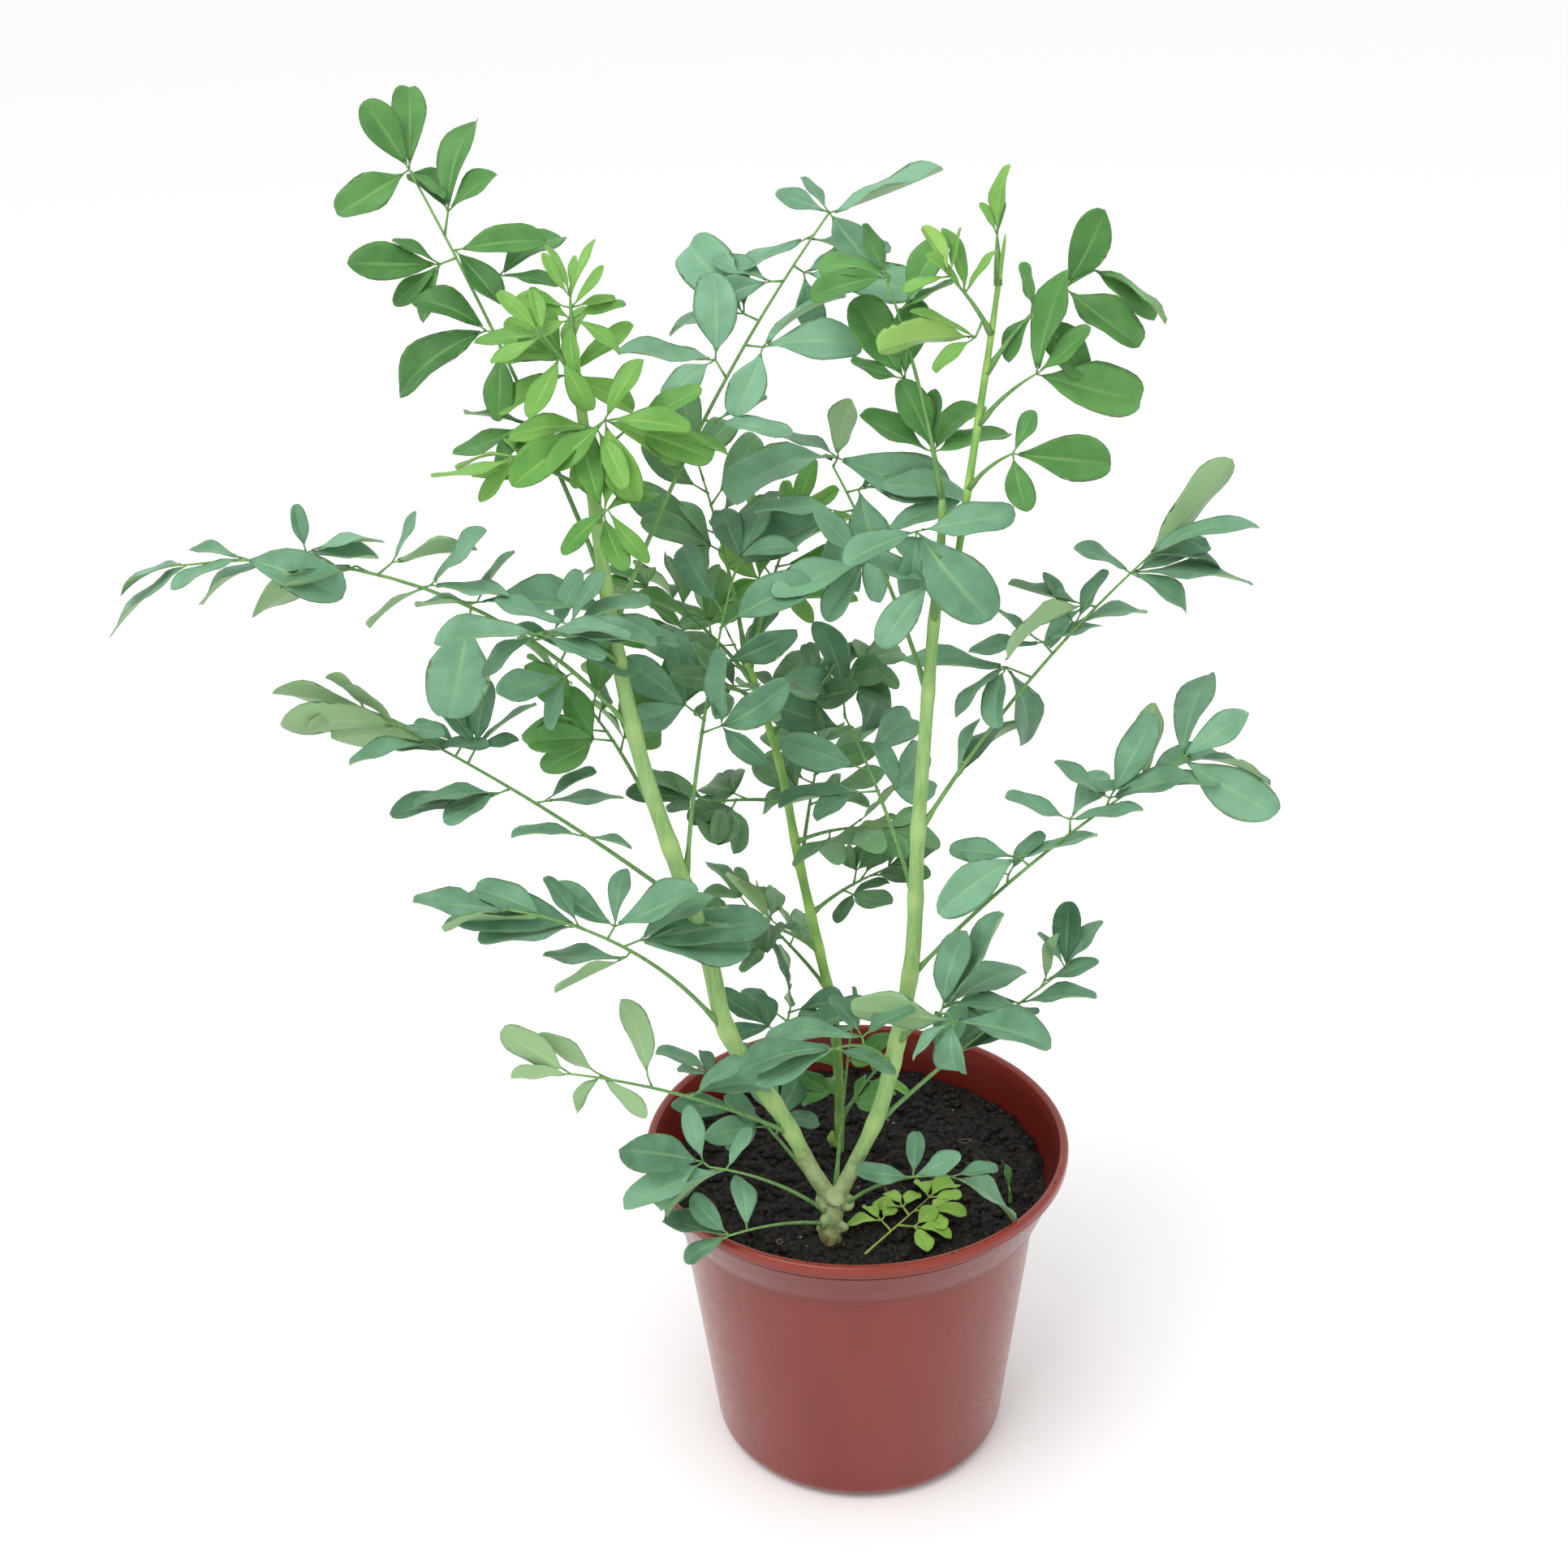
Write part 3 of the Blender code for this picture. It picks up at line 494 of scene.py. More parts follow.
# %% Crumbs, perlite, bark and roots
def crumb(parts, centre, size, slot, dice, stretch=1.0, detail=1):
    """A rough ball, turned at random and stretched along one axis."""
    ball = bmesh.new()
    bmesh.ops.create_icosphere(ball, subdivisions=detail, radius=1.0)
    turn = Matrix.Rotation(dice.uniform(0, math.tau), 3, "Z")
    turn = turn @ Matrix.Rotation(dice.uniform(-0.5, 0.5), 3, "Y")
    squash = Vector((size * stretch, size * dice.uniform(0.6, 1.0), size * dice.uniform(0.5, 0.85)))
    shift = Vector([dice.uniform(-9, 9) for _ in range(3)])
    points = []
    for vertex in ball.verts:
        bulge = 1 + 0.42 * noise.noise(vertex.co * 1.6 + shift)
        spot = Vector([a * b for a, b in zip(vertex.co * bulge, squash)])
        points.append(centre + turn @ spot)
    faces = [tuple(v.index for v in face.verts) for face in ball.faces]
    ball.free()
    parts.put(points, [(0, 0, dice.random())] * len(points), faces, slot)


def scatter(dice, reach):
    """An even random spot on the soil."""
    radius = reach * math.sqrt(dice.random())
    angle = dice.uniform(0, math.tau)
    x, y = radius * math.cos(angle), radius * math.sin(angle)
    return Vector((x, y, ground(x, y)))


CRUMBS, PERLITE_GRAINS, BARK_SPLINTERS, ROOT_HAIRS, RIM_CRUMBS = 2600, 26, 34, 9, 16
PEAT, PERLITE, BARK, ROOT = range(4)  # the soil's material slots

dice = random.Random(7)
for _ in range(CRUMBS):
    size = 0.0006 + 0.0022 * dice.random() ** 3.5  # most are fine, a few are lumps
    crumb(soil_parts, scatter(dice, 0.0615), size, PEAT, dice)
for _ in range(PERLITE_GRAINS):
    crumb(soil_parts, scatter(dice, 0.059), dice.uniform(0.00025, 0.00055), PERLITE, dice)
for _ in range(BARK_SPLINTERS):
    spot = scatter(dice, 0.058) + Vector((0, 0, 0.0003))
    size = dice.uniform(0.0005, 0.0009)
    crumb(soil_parts, spot, size, BARK, dice, stretch=dice.uniform(2.5, 5.0))
for k in range(ROOT_HAIRS):
    start = scatter(dice, 0.050)
    heading = dice.uniform(0, math.tau)
    bend = dice.uniform(-90, 90)
    path = []
    for step in range(9):
        angle = heading + bend * step * 0.02
        start = start + Vector((math.cos(angle), math.sin(angle), 0)) * 0.0018
        lift = 0.0004 + 0.0012 * math.sin(math.pi * step / 8) * (k % 3) / 2
        path.append(Vector((start.x, start.y, ground(start.x, start.y) + lift)))
    tube(soil_parts, path, [0.00016] * len(path), sides=5, slot=ROOT)
for _ in range(RIM_CRUMBS):  # a little soil is spilt on the rim's front
    angle = math.radians(dice.uniform(190, 350))
    spot = Vector((math.cos(angle), math.sin(angle), 0)) * dice.uniform(0.0680, 0.0692)
    spot.z = POT_HEIGHT
    crumb(soil_parts, spot, dice.uniform(0.00025, 0.0005), PEAT, dice)
soil = soil_parts.make("potting_soil", [peat, *SCRAPS])
settle(soil, "potting_soil", "soil")
print("soil has", len(soil.data.polygons), "faces")

# %% [markdown]
# ## Where everything grows
# The stems are smooth curves through a few joints, and each leaf leaves its stem at a
# height, heading and rise, then droops. These are the same rules and numbers as in the
# solids. Where two solids would have met, the solid's leaf was turned a little, so the
# code below looks for the turn whose points lie on the solid, and uses that.

# %% Plant plan
GAP = 0.0003
STALK_RADIUS = 0.0010
STALK_TIP_RADIUS = 0.0006
BARE_SHARE = 0.42  # of a leaf stalk, before its first leaflets
STEM_RIDGE = 1.06  # the solids' stems are many-sided, so their corners stand out by this much
LEAST_SINE = 0.35  # for a leaf that leaves its stem at a sharp angle
Stem = namedtuple("Stem", "joints foot_radius tip_radius")
Leaf = namedtuple("Leaf", "height azimuth rise length droop groups leaflet roll age")
FORK = Vector((-0.0085, -0.0350, 0.1110))

STEMS = {
    "left": Stem(
        [
            (-0.015, -0.0345, 0.123), (-0.024, -0.033, 0.143), (-0.040, -0.031, 0.173),
            (-0.045, -0.029, 0.198), (-0.053, -0.027, 0.228), (-0.063, -0.024, 0.266),
            (-0.0695, -0.020, 0.310), (-0.073, -0.014, 0.350), (-0.076, -0.010, 0.385),
        ],
        0.0040, 0.0014,
    ),
    "right": Stem(
        [
            (-0.0025, -0.0328, 0.123), (0.006, -0.030, 0.142), (0.012, -0.027, 0.166),
            (0.017, -0.023, 0.195), (0.019, -0.018, 0.236), (0.023, -0.012, 0.290),
            (0.026, -0.008, 0.325), (0.026, -0.002, 0.355),
        ],
        0.0037, 0.0013,
    ),
    "shoot": Stem(
        [
            (0.0306, -0.0095, 0.318), (0.0345, -0.007, 0.345), (0.039, -0.003, 0.375),
            (0.0435, 0.000, 0.408),
        ],
        0.0021, 0.0009,
    ),
    "rear": Stem(
        [
            (-0.0055, 0.012, 0.090), (-0.0052, 0.0125, 0.120), (-0.0066, 0.0133, 0.150),
            (-0.011, 0.0167, 0.175), (-0.0169, 0.020, 0.206), (-0.0225, 0.0235, 0.240),
            (-0.033, 0.029, 0.278),
        ],
        0.0024, 0.0012,
    ),
    "crown": Stem(
        [(-0.0095, -0.0378, 0.0885), (-0.0095, -0.0378, 0.100), tuple(FORK)], 0.0042, 0.0046,
    ),
}

# Rows hold a leaf's height, azimuth, rise, length, droop, groups, leaflet, roll and age.
LEAF_TABLE = {
    "left": [
        (0.137, 205, 38, 0.074, 14, 3, 0.022, 75, "old"),
        (0.148, 80, 30, 0.036, 20, 2, 0.023, 0, "old"),
        (0.173, 200, 56, 0.074, 34, 3, 0.028, 0, "old"),
        (0.215, 170, 38, 0.105, 12, 4, 0.023, 25, "old"),
        (0.222, 62, 76, 0.082, 20, 3, 0.027, 0, "old"),
        (0.235, 145, 60, 0.038, 20, 3, 0.023, 0, "mid"),
        (0.272, 185, 53, 0.130, 58, 6, 0.025, 12, "old"),
        (0.293, 235, 42, 0.034, 24, 3, 0.027, 0, "old"),
        (0.303, 40, 60, 0.136, 20, 6, 0.025, 0, "old"),
        (0.316, 140, 63, 0.116, 10, 6, 0.025, 0, "mid"),
        (0.334, 285, 30, 0.028, 10, 3, 0.022, 0, "young"),
        (0.342, 195, 35, 0.028, 10, 3, 0.022, 0, "young"),
        (0.350, 15, 40, 0.028, 10, 3, 0.022, 0, "young"),
        (0.357, 320, 42, 0.022, 10, 2, 0.020, 0, "young"),
        (0.364, 120, 55, 0.026, 10, 2, 0.020, 0, "young"),
        (0.372, 225, 58, 0.018, 10, 2, 0.015, 0, "young"),
        (0.380, 100, 80, 0.010, 6, 0, 0.018, 0, "young"),
    ],
    "right": [
        (0.137, 20, 36, 0.069, 8, 3, 0.020, 0, "old"),
        (0.158, 235, 50, 0.036, 34, 3, 0.027, 0, "old"),
        (0.165, 310, 52, 0.038, 34, 3, 0.026, 0, "old"),
        (0.187, 10, 46, 0.112, 20, 5, 0.022, -12, "old"),
        (0.212, 115, 52, 0.056, 20, 3, 0.025, 0, "old"),
        (0.234, 15, 56, 0.116, 20, 5, 0.023, -15, "old"),
        (0.277, 125, 60, 0.076, 20, 4, 0.028, 0, "old"),
        (0.298, 280, 74, 0.014, 10, 1, 0.031, 0, "old"),
        (0.335, 140, 78, 0.050, 10, 3, 0.024, 0, "mid"),
    ],
    "shoot": [
        (0.338, 315, 48, 0.016, 20, 1, 0.026, 0, "mid"),
        (0.356, 345, 50, 0.018, 20, 1, 0.029, 0, "mid"),
        (0.370, 20, 52, 0.036, 34, 3, 0.020, 0, "mid"),
        (0.381, 205, 58, 0.018, 14, 1, 0.020, 0, "young"),
        (0.394, 95, 78, 0.010, 6, 0, 0.022, 0, "young"),
    ],
    "rear": [
        (0.110, 40, 42, 0.026, 20, 1, 0.014, 0, "young"),
        (0.160, 135, 34, 0.036, 20, 3, 0.020, 0, "old"),
        (0.174, 195, 42, 0.022, 20, 1, 0.022, 0, "old"),
        (0.187, 5, 40, 0.022, 20, 2, 0.021, 0, "old"),
        (0.203, 80, 36, 0.048, 24, 3, 0.021, 0, "old"),
        (0.212, 330, 32, 0.026, 20, 2, 0.023, 0, "old"),
        (0.226, 200, 16, 0.026, 14, 2, 0.023, 0, "old"),
        (0.238, 110, 42, 0.050, 24, 3, 0.023, 0, "old"),
        (0.248, 20, 44, 0.030, 24, 3, 0.022, 0, "old"),
        (0.256, 245, 46, 0.030, 24, 2, 0.025, 0, "old"),
        (0.264, 160, 50, 0.034, 20, 3, 0.024, 0, "mid"),
        (0.270, 60, 62, 0.040, 20, 3, 0.023, 0, "young"),
        (0.274, 120, 72, 0.050, 16, 3, 0.025, 0, "old"),
    ],
    "crown": [
        (0.1045, 215, 28, 0.036, 20, 2, 0.019, 0, "old"),
        (0.1070, 198, 46, 0.042, 24, 2, 0.025, 0, "old"),
        (0.1085, 160, 46, 0.044, 24, 2, 0.022, 0, "old"),
        (0.1080, 345, 46, 0.036, 44, 2, 0.022, 0, "old"),
        (0.1095, 80, 48, 0.042, 14, 2, 0.016, 0, "mid"),
    ],
}
LEAVES = {name: [Leaf(*row) for row in rows] for name, rows in LEAF_TABLE.items()}
FALLEN_ROOT = Vector((0.0005, -0.0500, SOIL_HEIGHT + 0.0026))
FALLEN_LEAF = Leaf(0, 52, 0, 0.036, 0, 3, 0.0135, 0, "fallen")
SEEDLING_ROOT = Vector((0.0490, -0.0230, SOIL_HEIGHT + 0.0008))
SEEDLING = Leaf(0, 120, 84, 0.005, 0, 0, 0.008, 0, "mid")
leaf_count = sum(len(group) for group in LEAVES.values())
print(leaf_count, "leaves on", len(STEMS) - 1, "stems and the crown")


# %% Stem curves
def smooth_path(joints, steps=3):
    """Points on a smooth curve through the joints."""
    spots = [Vector(joint) for joint in joints]
    spots = [2 * spots[0] - spots[1]] + spots + [2 * spots[-1] - spots[-2]]
    path = []
    for before, start, end, after in zip(spots, spots[1:], spots[2:], spots[3:]):
        for k in range(steps):
            t = k / steps
            path.append(
                0.5 * (2 * start + (end - before) * t
                       + (2 * before - 5 * start + 4 * end - after) * t ** 2
                       + (3 * start - before - 3 * end + after) * t ** 3)
            )
    path.append(spots[-2])
    return path


def stem_radius(stem, share):
    """A stem stays stout for most of its height and thins out near its tip."""
    return stem.foot_radius + (stem.tip_radius - stem.foot_radius) * share ** 3


def stem_at(name, height):
    """The stem's axis point, its direction and its radius at a height."""
    stem = STEMS[name]
    path = smooth_path(stem.joints)
    for k, (low, high) in enumerate(zip(path, path[1:])):
        if high.z >= height or k == len(path) - 2:
            share = (height - low.z) / (high.z - low.z)
            radius = stem_radius(stem, (k + share) / (len(path) - 1))
            return low.lerp(high, share), (high - low).normalized(), radius


print("left stem at 0.2 m:", [round(c, 4) for c in stem_at("left", 0.2)[0]])


# %% Leaf curves
def leaf_frame(leaf, root, reach):
    """The frame at a distance along the leaf's stalk: forward, left, up and the point."""
    azimuth = math.radians(leaf.azimuth)
    rise = math.radians(leaf.rise)
    heading = Vector((math.cos(azimuth), math.sin(azimuth), 0.0))
    up = Vector((0.0, 0.0, 1.0))
    bend = math.radians(leaf.droop) / leaf.length
    turned = rise - bend * reach
    if leaf.droop:
        out = (math.sin(rise) - math.sin(turned)) / bend
        climb = (math.cos(turned) - math.cos(rise)) / bend
    else:
        out = reach * math.cos(rise)
        climb = reach * math.sin(rise)
    forward = heading * math.cos(turned) + up * math.sin(turned)
    left = up.cross(heading)
    left.rotate(Matrix.Rotation(math.radians(leaf.roll), 3, forward))
    made = Matrix((forward, left, forward.cross(left))).transposed().to_4x4()
    made.translation = root + heading * out + up * climb
    return made


def stalk_root(stem_name, leaf):
    """Where the leaf stalk starts: on the stem's skin."""
    axis, along, radius = stem_at(stem_name, leaf.height)
    heading = leaf_frame(leaf, axis, 0.0).col[0].xyz
    sine = max(heading.cross(along).length, LEAST_SINE)
    cosine = abs(heading.dot(along))
    return axis + heading * (radius * STEM_RIDGE + GAP + STALK_RADIUS * cosine) / sine


def tree_of(node):
    """A search tree over a solid's points."""
    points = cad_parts[node].data.vertices
    tree = KDTree(len(points))
    for k, vertex in enumerate(points):
        tree.insert(vertex.co, k)
    tree.balance()
    return tree


def find_stalk(stem_name, leaf, solid):
    """The turn and slide whose stalk lies along the solid's, by the solid's own points."""
    best = None
    spans = 2 + round(abs(leaf.droop) / 12)
    for turn in (0, 5, -5, 10, -10, 16, -16, 24, -24):
        turned = leaf._replace(azimuth=leaf.azimuth + turn)
        skin = stalk_root(stem_name, turned)
        heading = leaf_frame(turned, skin, 0.0).col[0].xyz
        for slide in range(7):
            root = skin + heading * slide * 0.0005
            error = 0.0
            for k in range(spans + 1):
                point = leaf_frame(turned, root, leaf.length * k / spans).translation
                radius = STALK_RADIUS + (STALK_TIP_RADIUS - STALK_RADIUS) * k / spans
                error += abs(solid.find(point)[2] - radius)
            if best is None or error < best[0] - 1e-7:
                best = (error, turned, root)
    return best


worst = 0.0
SETTLED = {}
for stem_name, group in LEAVES.items():
    for number, leaf in enumerate(group, start=1):
        node = f"{stem_name}_leaf_{number:02d}"
        error, turned, root = find_stalk(stem_name, leaf, tree_of(node))
        SETTLED[node] = (stem_name, turned, root)
        worst = max(worst, error)
SETTLED["fallen_leaf"] = (None, FALLEN_LEAF, FALLEN_ROOT)
SETTLED["seedling"] = (None, SEEDLING, SEEDLING_ROOT)
print(len(SETTLED), "leaves found, worst fit", round(worst * 1000, 3), "mm")

# %% [markdown]
# ## Leaf and stem skins
# A rue leaf is matt because its cuticle carries a bloom of wax, so its roughness is high
# and a little sheen lightens it at a glance. The wax scatters blue light, which turns the
# green bluish. Young leaves have less wax and are brighter and yellower. The underside is
# paler, the midrib is a light line, and the margin glows where light comes through.

# %% Leaf material
MARGIN_START = 0.86  # the share of the half width where the margin's tint begins
VEIN_PACE, VEIN_SLANT, VEIN_SHARPNESS = 58.0, 15.0, 14.0


def leaf_material(name, low, high, rib, under, margin, roughness):
    """A leaf skin: two tones of blade, then the margin, the veins and the underside."""
    made, tree, shader, place = new_material(
        name, roughness, 1.42, Sheen_Weight=0.12, Sheen_Roughness=0.5, Specular_IOR_Level=0.35,
    )
    shader.inputs["Sheen Tint"].default_value = linear("#dff0e6")
    along, across, tone, below = (
        add(tree, "ShaderNodeAttribute", attribute_name=mark).outputs["Fac"]
        for mark in ("along", "across", "tone", "underside")
    )
    cloud = add(tree, NOISE, {"Vector": place, "Scale": per_mm(7), "Detail": 4.0})
    mottle = add(tree, MATHS, {0: cloud, 1: 0.5}, operation="SUBTRACT")
    tint = add(tree, MATHS, {0: mottle, 1: 0.9, 2: tone}, operation="MULTIPLY_ADD")
    blade = add(tree, RAMP, {"Fac": tint}, stops=[(0.05, low), (0.95, high)])
    off_rib = add(tree, MATHS, {0: across}, operation="ABSOLUTE")
    edge = add(tree, MATHS, {0: off_rib, 1: MARGIN_START}, operation="SUBTRACT")
    edge = add(tree, MATHS, {0: edge, 1: 5.0}, operation="MULTIPLY", use_clamp=True)
    # Painted light: the margin is glazed paler for the light that shines through the thin edge.
    blade = glaze(tree, blade, margin, edge, 0.55)
    # Side veins leave the midrib forwards, about 2 mm apart.
    lag = add(tree, MATHS, {0: off_rib, 1: VEIN_SLANT}, operation="MULTIPLY")
    slant = add(tree, MATHS, {0: along, 1: VEIN_PACE}, operation="MULTIPLY")
    slant = add(tree, MATHS, {0: slant, 1: lag}, operation="SUBTRACT")
    wave = add(tree, MATHS, {0: slant}, operation="SINE")
    wave = add(tree, MATHS, {0: wave}, operation="ABSOLUTE")
    vein = add(tree, MATHS, {0: wave, 1: VEIN_SHARPNESS}, operation="POWER")
    inner = add(tree, MATHS, {0: 1.0, 1: off_rib}, operation="SUBTRACT")
    vein = add(tree, MATHS, {0: vein, 1: inner}, operation="MULTIPLY")
    blade = glaze(tree, blade, rib, vein, 0.06)
    # The midrib is a line down the middle that fades towards the tip.
    line = add(tree, MATHS, {0: off_rib, 1: 8.0}, operation="MULTIPLY")
    line = add(tree, MATHS, {0: 1.0, 1: line}, operation="SUBTRACT", use_clamp=True)
    fade = add(tree, MATHS, {0: 1.15, 1: along}, operation="SUBTRACT", use_clamp=True)
    line = add(tree, MATHS, {0: line, 1: fade}, operation="MULTIPLY")
    blade = glaze(tree, blade, rib, line, 0.42)
    pale = glaze(tree, glaze(tree, under, blade, cloud, 0.35), rib, line, 0.5)
    tree.links.new(glaze(tree, blade, pale, below), shader.inputs["Base Color"])
    pores = add(tree, NOISE, {"Vector": place, "Scale": per_mm(0.6), "Detail": 2.0})
    relief = add(tree, MATHS, {0: pores, 1: 0.35}, operation="MULTIPLY")
    relief = add(tree, MATHS, {0: relief, 1: vein}, operation="SUBTRACT")
    bump = add(tree, "ShaderNodeBump", {"Height": relief, "Strength": 0.25, "Distance": 0.00008})
    tree.links.new(bump.outputs["Normal"], shader.inputs["Normal"])
    return made


LEAF_SKINS = {
    age: leaf_material(f"rue_leaf_{name}", *look)
    for age, name, *look in (
        ("old", "waxy", "#3a6646", "#78a886", "#a9c98b", "#8fb07c", "#8ab870", 0.55),
        ("shaded", "shaded", "#38603a", "#72a06f", "#a4c381", "#86a66d", "#86b461", 0.52),
        ("mid", "plain_green", "#33662b", "#5f974f", "#9cc07a", "#84a96c", "#7fb24c", 0.48),
        ("young", "young", "#4a8637", "#78ac50", "#bfdc7a", "#94bd62", "#94c440", 0.46),
        ("fallen", "shed", "#78a53e", "#98c455", "#cfe08a", "#9fc268", "#a8c04c", 0.6),
    )
}
print("leaf skins:", ", ".join(LEAF_SKINS))


# %% Stem material
def stem_material(name, shade, light, node_tint, roughness):
    """A stem skin: pale green with fine lengthwise streaks and a little mottling."""
    made, tree, shader, place = new_material(name, roughness, 1.42, Specular_IOR_Level=0.4)
    along, tone = (
        add(tree, "ShaderNodeAttribute", attribute_name=mark).outputs["Fac"]
        for mark in ("along", "tone")
    )
    drawn = add(tree, "ShaderNodeMapping", {"Vector": place, "Scale": (1.0, 1.0, 0.09)})
    streak = add(tree, NOISE, {"Vector": drawn, "Scale": per_mm(0.9), "Detail": 3.0})
    cloud = add(tree, NOISE, {"Vector": place, "Scale": per_mm(11), "Detail": 3.0})
    broad = add(tree, MATHS, {0: cloud, 1: 0.4}, operation="MULTIPLY")
    mixed = add(tree, MATHS, {0: streak, 1: 0.6, 2: broad}, operation="MULTIPLY_ADD")
    skin = add(tree, RAMP, {"Fac": mixed}, stops=[(0.36, shade), (0.62, light)])
    swelling = add(tree, MATHS, {0: tone, 1: 0.5}, operation="SUBTRACT")
    swelling = add(tree, MATHS, {0: swelling, 1: 2.0}, operation="MULTIPLY", use_clamp=True)
    skin = glaze(tree, skin, node_tint, swelling)
    top = add(tree, MATHS, {0: along, 1: 0.72}, operation="SUBTRACT")
    top = add(tree, MATHS, {0: top, 1: 3.4}, operation="MULTIPLY", use_clamp=True)
    tree.links.new(glaze(tree, skin, "#7aa855", top, 0.7), shader.inputs["Base Color"])
    bump = add(tree, "ShaderNodeBump", {"Height": streak, "Strength": 0.25, "Distance": 0.00015})
    tree.links.new(bump.outputs["Normal"], shader.inputs["Normal"])
    return made


green_skin = stem_material("rue_stem_skin", "#7ca35f", "#96bb76", "#a9c57c", 0.5)
young_skin = stem_material("rue_young_stem_skin", "#6f9f4c", "#86b45c", "#a9cc6a", 0.45)
shed_stalk_skin = stem_material("shed_leaf_stalk_skin", "#8aa64c", "#a9c05e", "#b9c96a", 0.5)
stalk_skin = stem_material("rue_leaf_stalk_skin", "#568346", "#769f5e", "#97b46e", 0.5)
print("stem skins made")

# %% [markdown]
# ## Stems
# Rue stems are slightly ridged and swell where a leaf joins. A tube with many rings
# follows the same curve as the solid, and its radius grows a little near each leaf. The
# swelling's colour is lighter, so the tone mark grows there too.

# %% Grow the stems
SLENDER = {"left": 0.70, "right": 0.70, "rear": 0.72, "shoot": 0.54}  # the solids are stouter
STEM_TOPS = {"right": 0.339}  # the leader ends where its last leaf carries on upwards
STEM_SIDES = 20
STEM_STEPS = 16  # rings between two joints
NODE_HALF = 0.0032  # how far a swelling reaches up and down


def grow_stem(name, piece_name, skin, slot, lead=(), twigs=()):
    """A ridged stem with a swelling under each leaf; lead continues it below its foot."""
    stem = STEMS[name]
    top = STEM_TOPS.get(name, 1.0)
    path = [Vector(point) for point in lead]
    path += [point for point in smooth_path(stem.joints, STEM_STEPS) if point.z < top]
    heights = [leaf.height for leaf in LEAVES[name]]
    points, marks = [], []
    for k, (point, _, side, other) in enumerate(frames_along(path)):
        share = k / (len(path) - 1)
        radius = stem_radius(stem, share) * SLENDER[name] * min(1.0, 0.84 + 0.7 * share)
        near = max(math.exp(-((point.z - h - 0.001) / NODE_HALF) ** 2) for h in heights)
        swell = 1 + 0.14 * near
        if share > 0.97:  # the tip rounds off
            radius *= max(0.25, math.sqrt(max(0.0, (1 - share) / 0.03)))
        for step in range(STEM_SIDES):
            angle = math.tau * step / STEM_SIDES
            ridge = 1 + 0.02 * math.cos(5 * angle) + 0.02 * noise.noise(point * 90)
            size = radius * swell * ridge
            points.append(point + size * (math.cos(angle) * side + math.sin(angle) * other))
            marks.append((share, step / STEM_SIDES, 0.5 + 0.32 * near))
    parts = Parts()
    parts.put(points, marks, tube_faces(len(path), STEM_SIDES))
    for twig, twig_radii in twigs:
        tube(parts, twig, twig_radii, sides=12, tone=0.9)
    made = parts.make(piece_name, [skin])
    settle(made, slot, f"{name}_stem")
    return made


# Leads join a stem to the crown's fork, or to the stem that it springs from.
LEFT_LEAD = [(-0.0115, -0.0348, 0.116), (-0.0133, -0.0347, 0.1195)]
RIGHT_LEAD = [(-0.0060, -0.0340, 0.116), (-0.0042, -0.0334, 0.1195)]
SHOOT_LEAD = [(0.0243, -0.0103, 0.3000), (0.0262, -0.0102, 0.3060), (0.0286, -0.0099, 0.3120)]
REAR_BUD = [(-0.0055, 0.0120, 0.1000), (-0.0077, 0.0086, 0.1035)]
REAR_BUD += [(-0.0084, 0.0066, 0.1070), (-0.0078, 0.0060, 0.1100)]
grow_stem("left", "left_main_stem", green_skin, "green_stem", LEFT_LEAD)
grow_stem("right", "right_main_stem", green_skin, "green_stem", RIGHT_LEAD)
grow_stem("shoot", "young_side_shoot", young_skin, "young_stem", SHOOT_LEAD)
bud_radii = [0.0013, 0.0011, 0.0013, 0.0006]
grow_stem("rear", "rear_stem_skin", young_skin, "young_stem", twigs=[(REAR_BUD, bud_radii)])
print("four stems grown")

# %% [markdown]
# ## The crown
# The crown is where the stems fork out of the old wood. It is knobbly, and brown where it
# meets the soil. Overlapping tubes and balls are fused by a voxel remesh, then smoothed,
# which rounds the inside of the fork as growth does.

# %% Crown material
crown_skin, tree, shader, place = new_material("rue_crown_bark", 0.68, 1.45)
height = add(tree, "ShaderNodeSeparateXYZ", {"Vector": place}).outputs["Z"]
knots = add(tree, NOISE, {"Vector": place, "Scale": per_mm(4), "Detail": 5.0})
grain = add(tree, NOISE, {"Vector": place, "Scale": per_mm(0.8), "Detail": 3.0})
green = add(tree, RAMP, {"Fac": knots}, stops=[(0.35, "#7d9560"), (0.62, "#a3b57f")])
wood = add(tree, RAMP, {"Fac": knots}, stops=[(0.35, "#5d4f2c"), (0.65, "#93905a")])
rise = add(tree, MATHS, {0: height, 1: SOIL_HEIGHT}, operation="SUBTRACT")
ragged = add(tree, MATHS, {0: knots, 1: 0.5}, operation="SUBTRACT")
ragged = add(tree, MATHS, {0: ragged, 1: 1.6}, operation="MULTIPLY")
rise = add(tree, MATHS, {0: rise, 1: 160.0, 2: ragged}, operation="MULTIPLY_ADD", use_clamp=True)
tree.links.new(glaze(tree, wood, green, rise), shader.inputs["Base Color"])
bump = add(tree, "ShaderNodeBump", {"Height": grain, "Strength": 0.5, "Distance": 0.0003})
tree.links.new(bump.outputs["Normal"], shader.inputs["Normal"])
print("made", crown_skin.name)

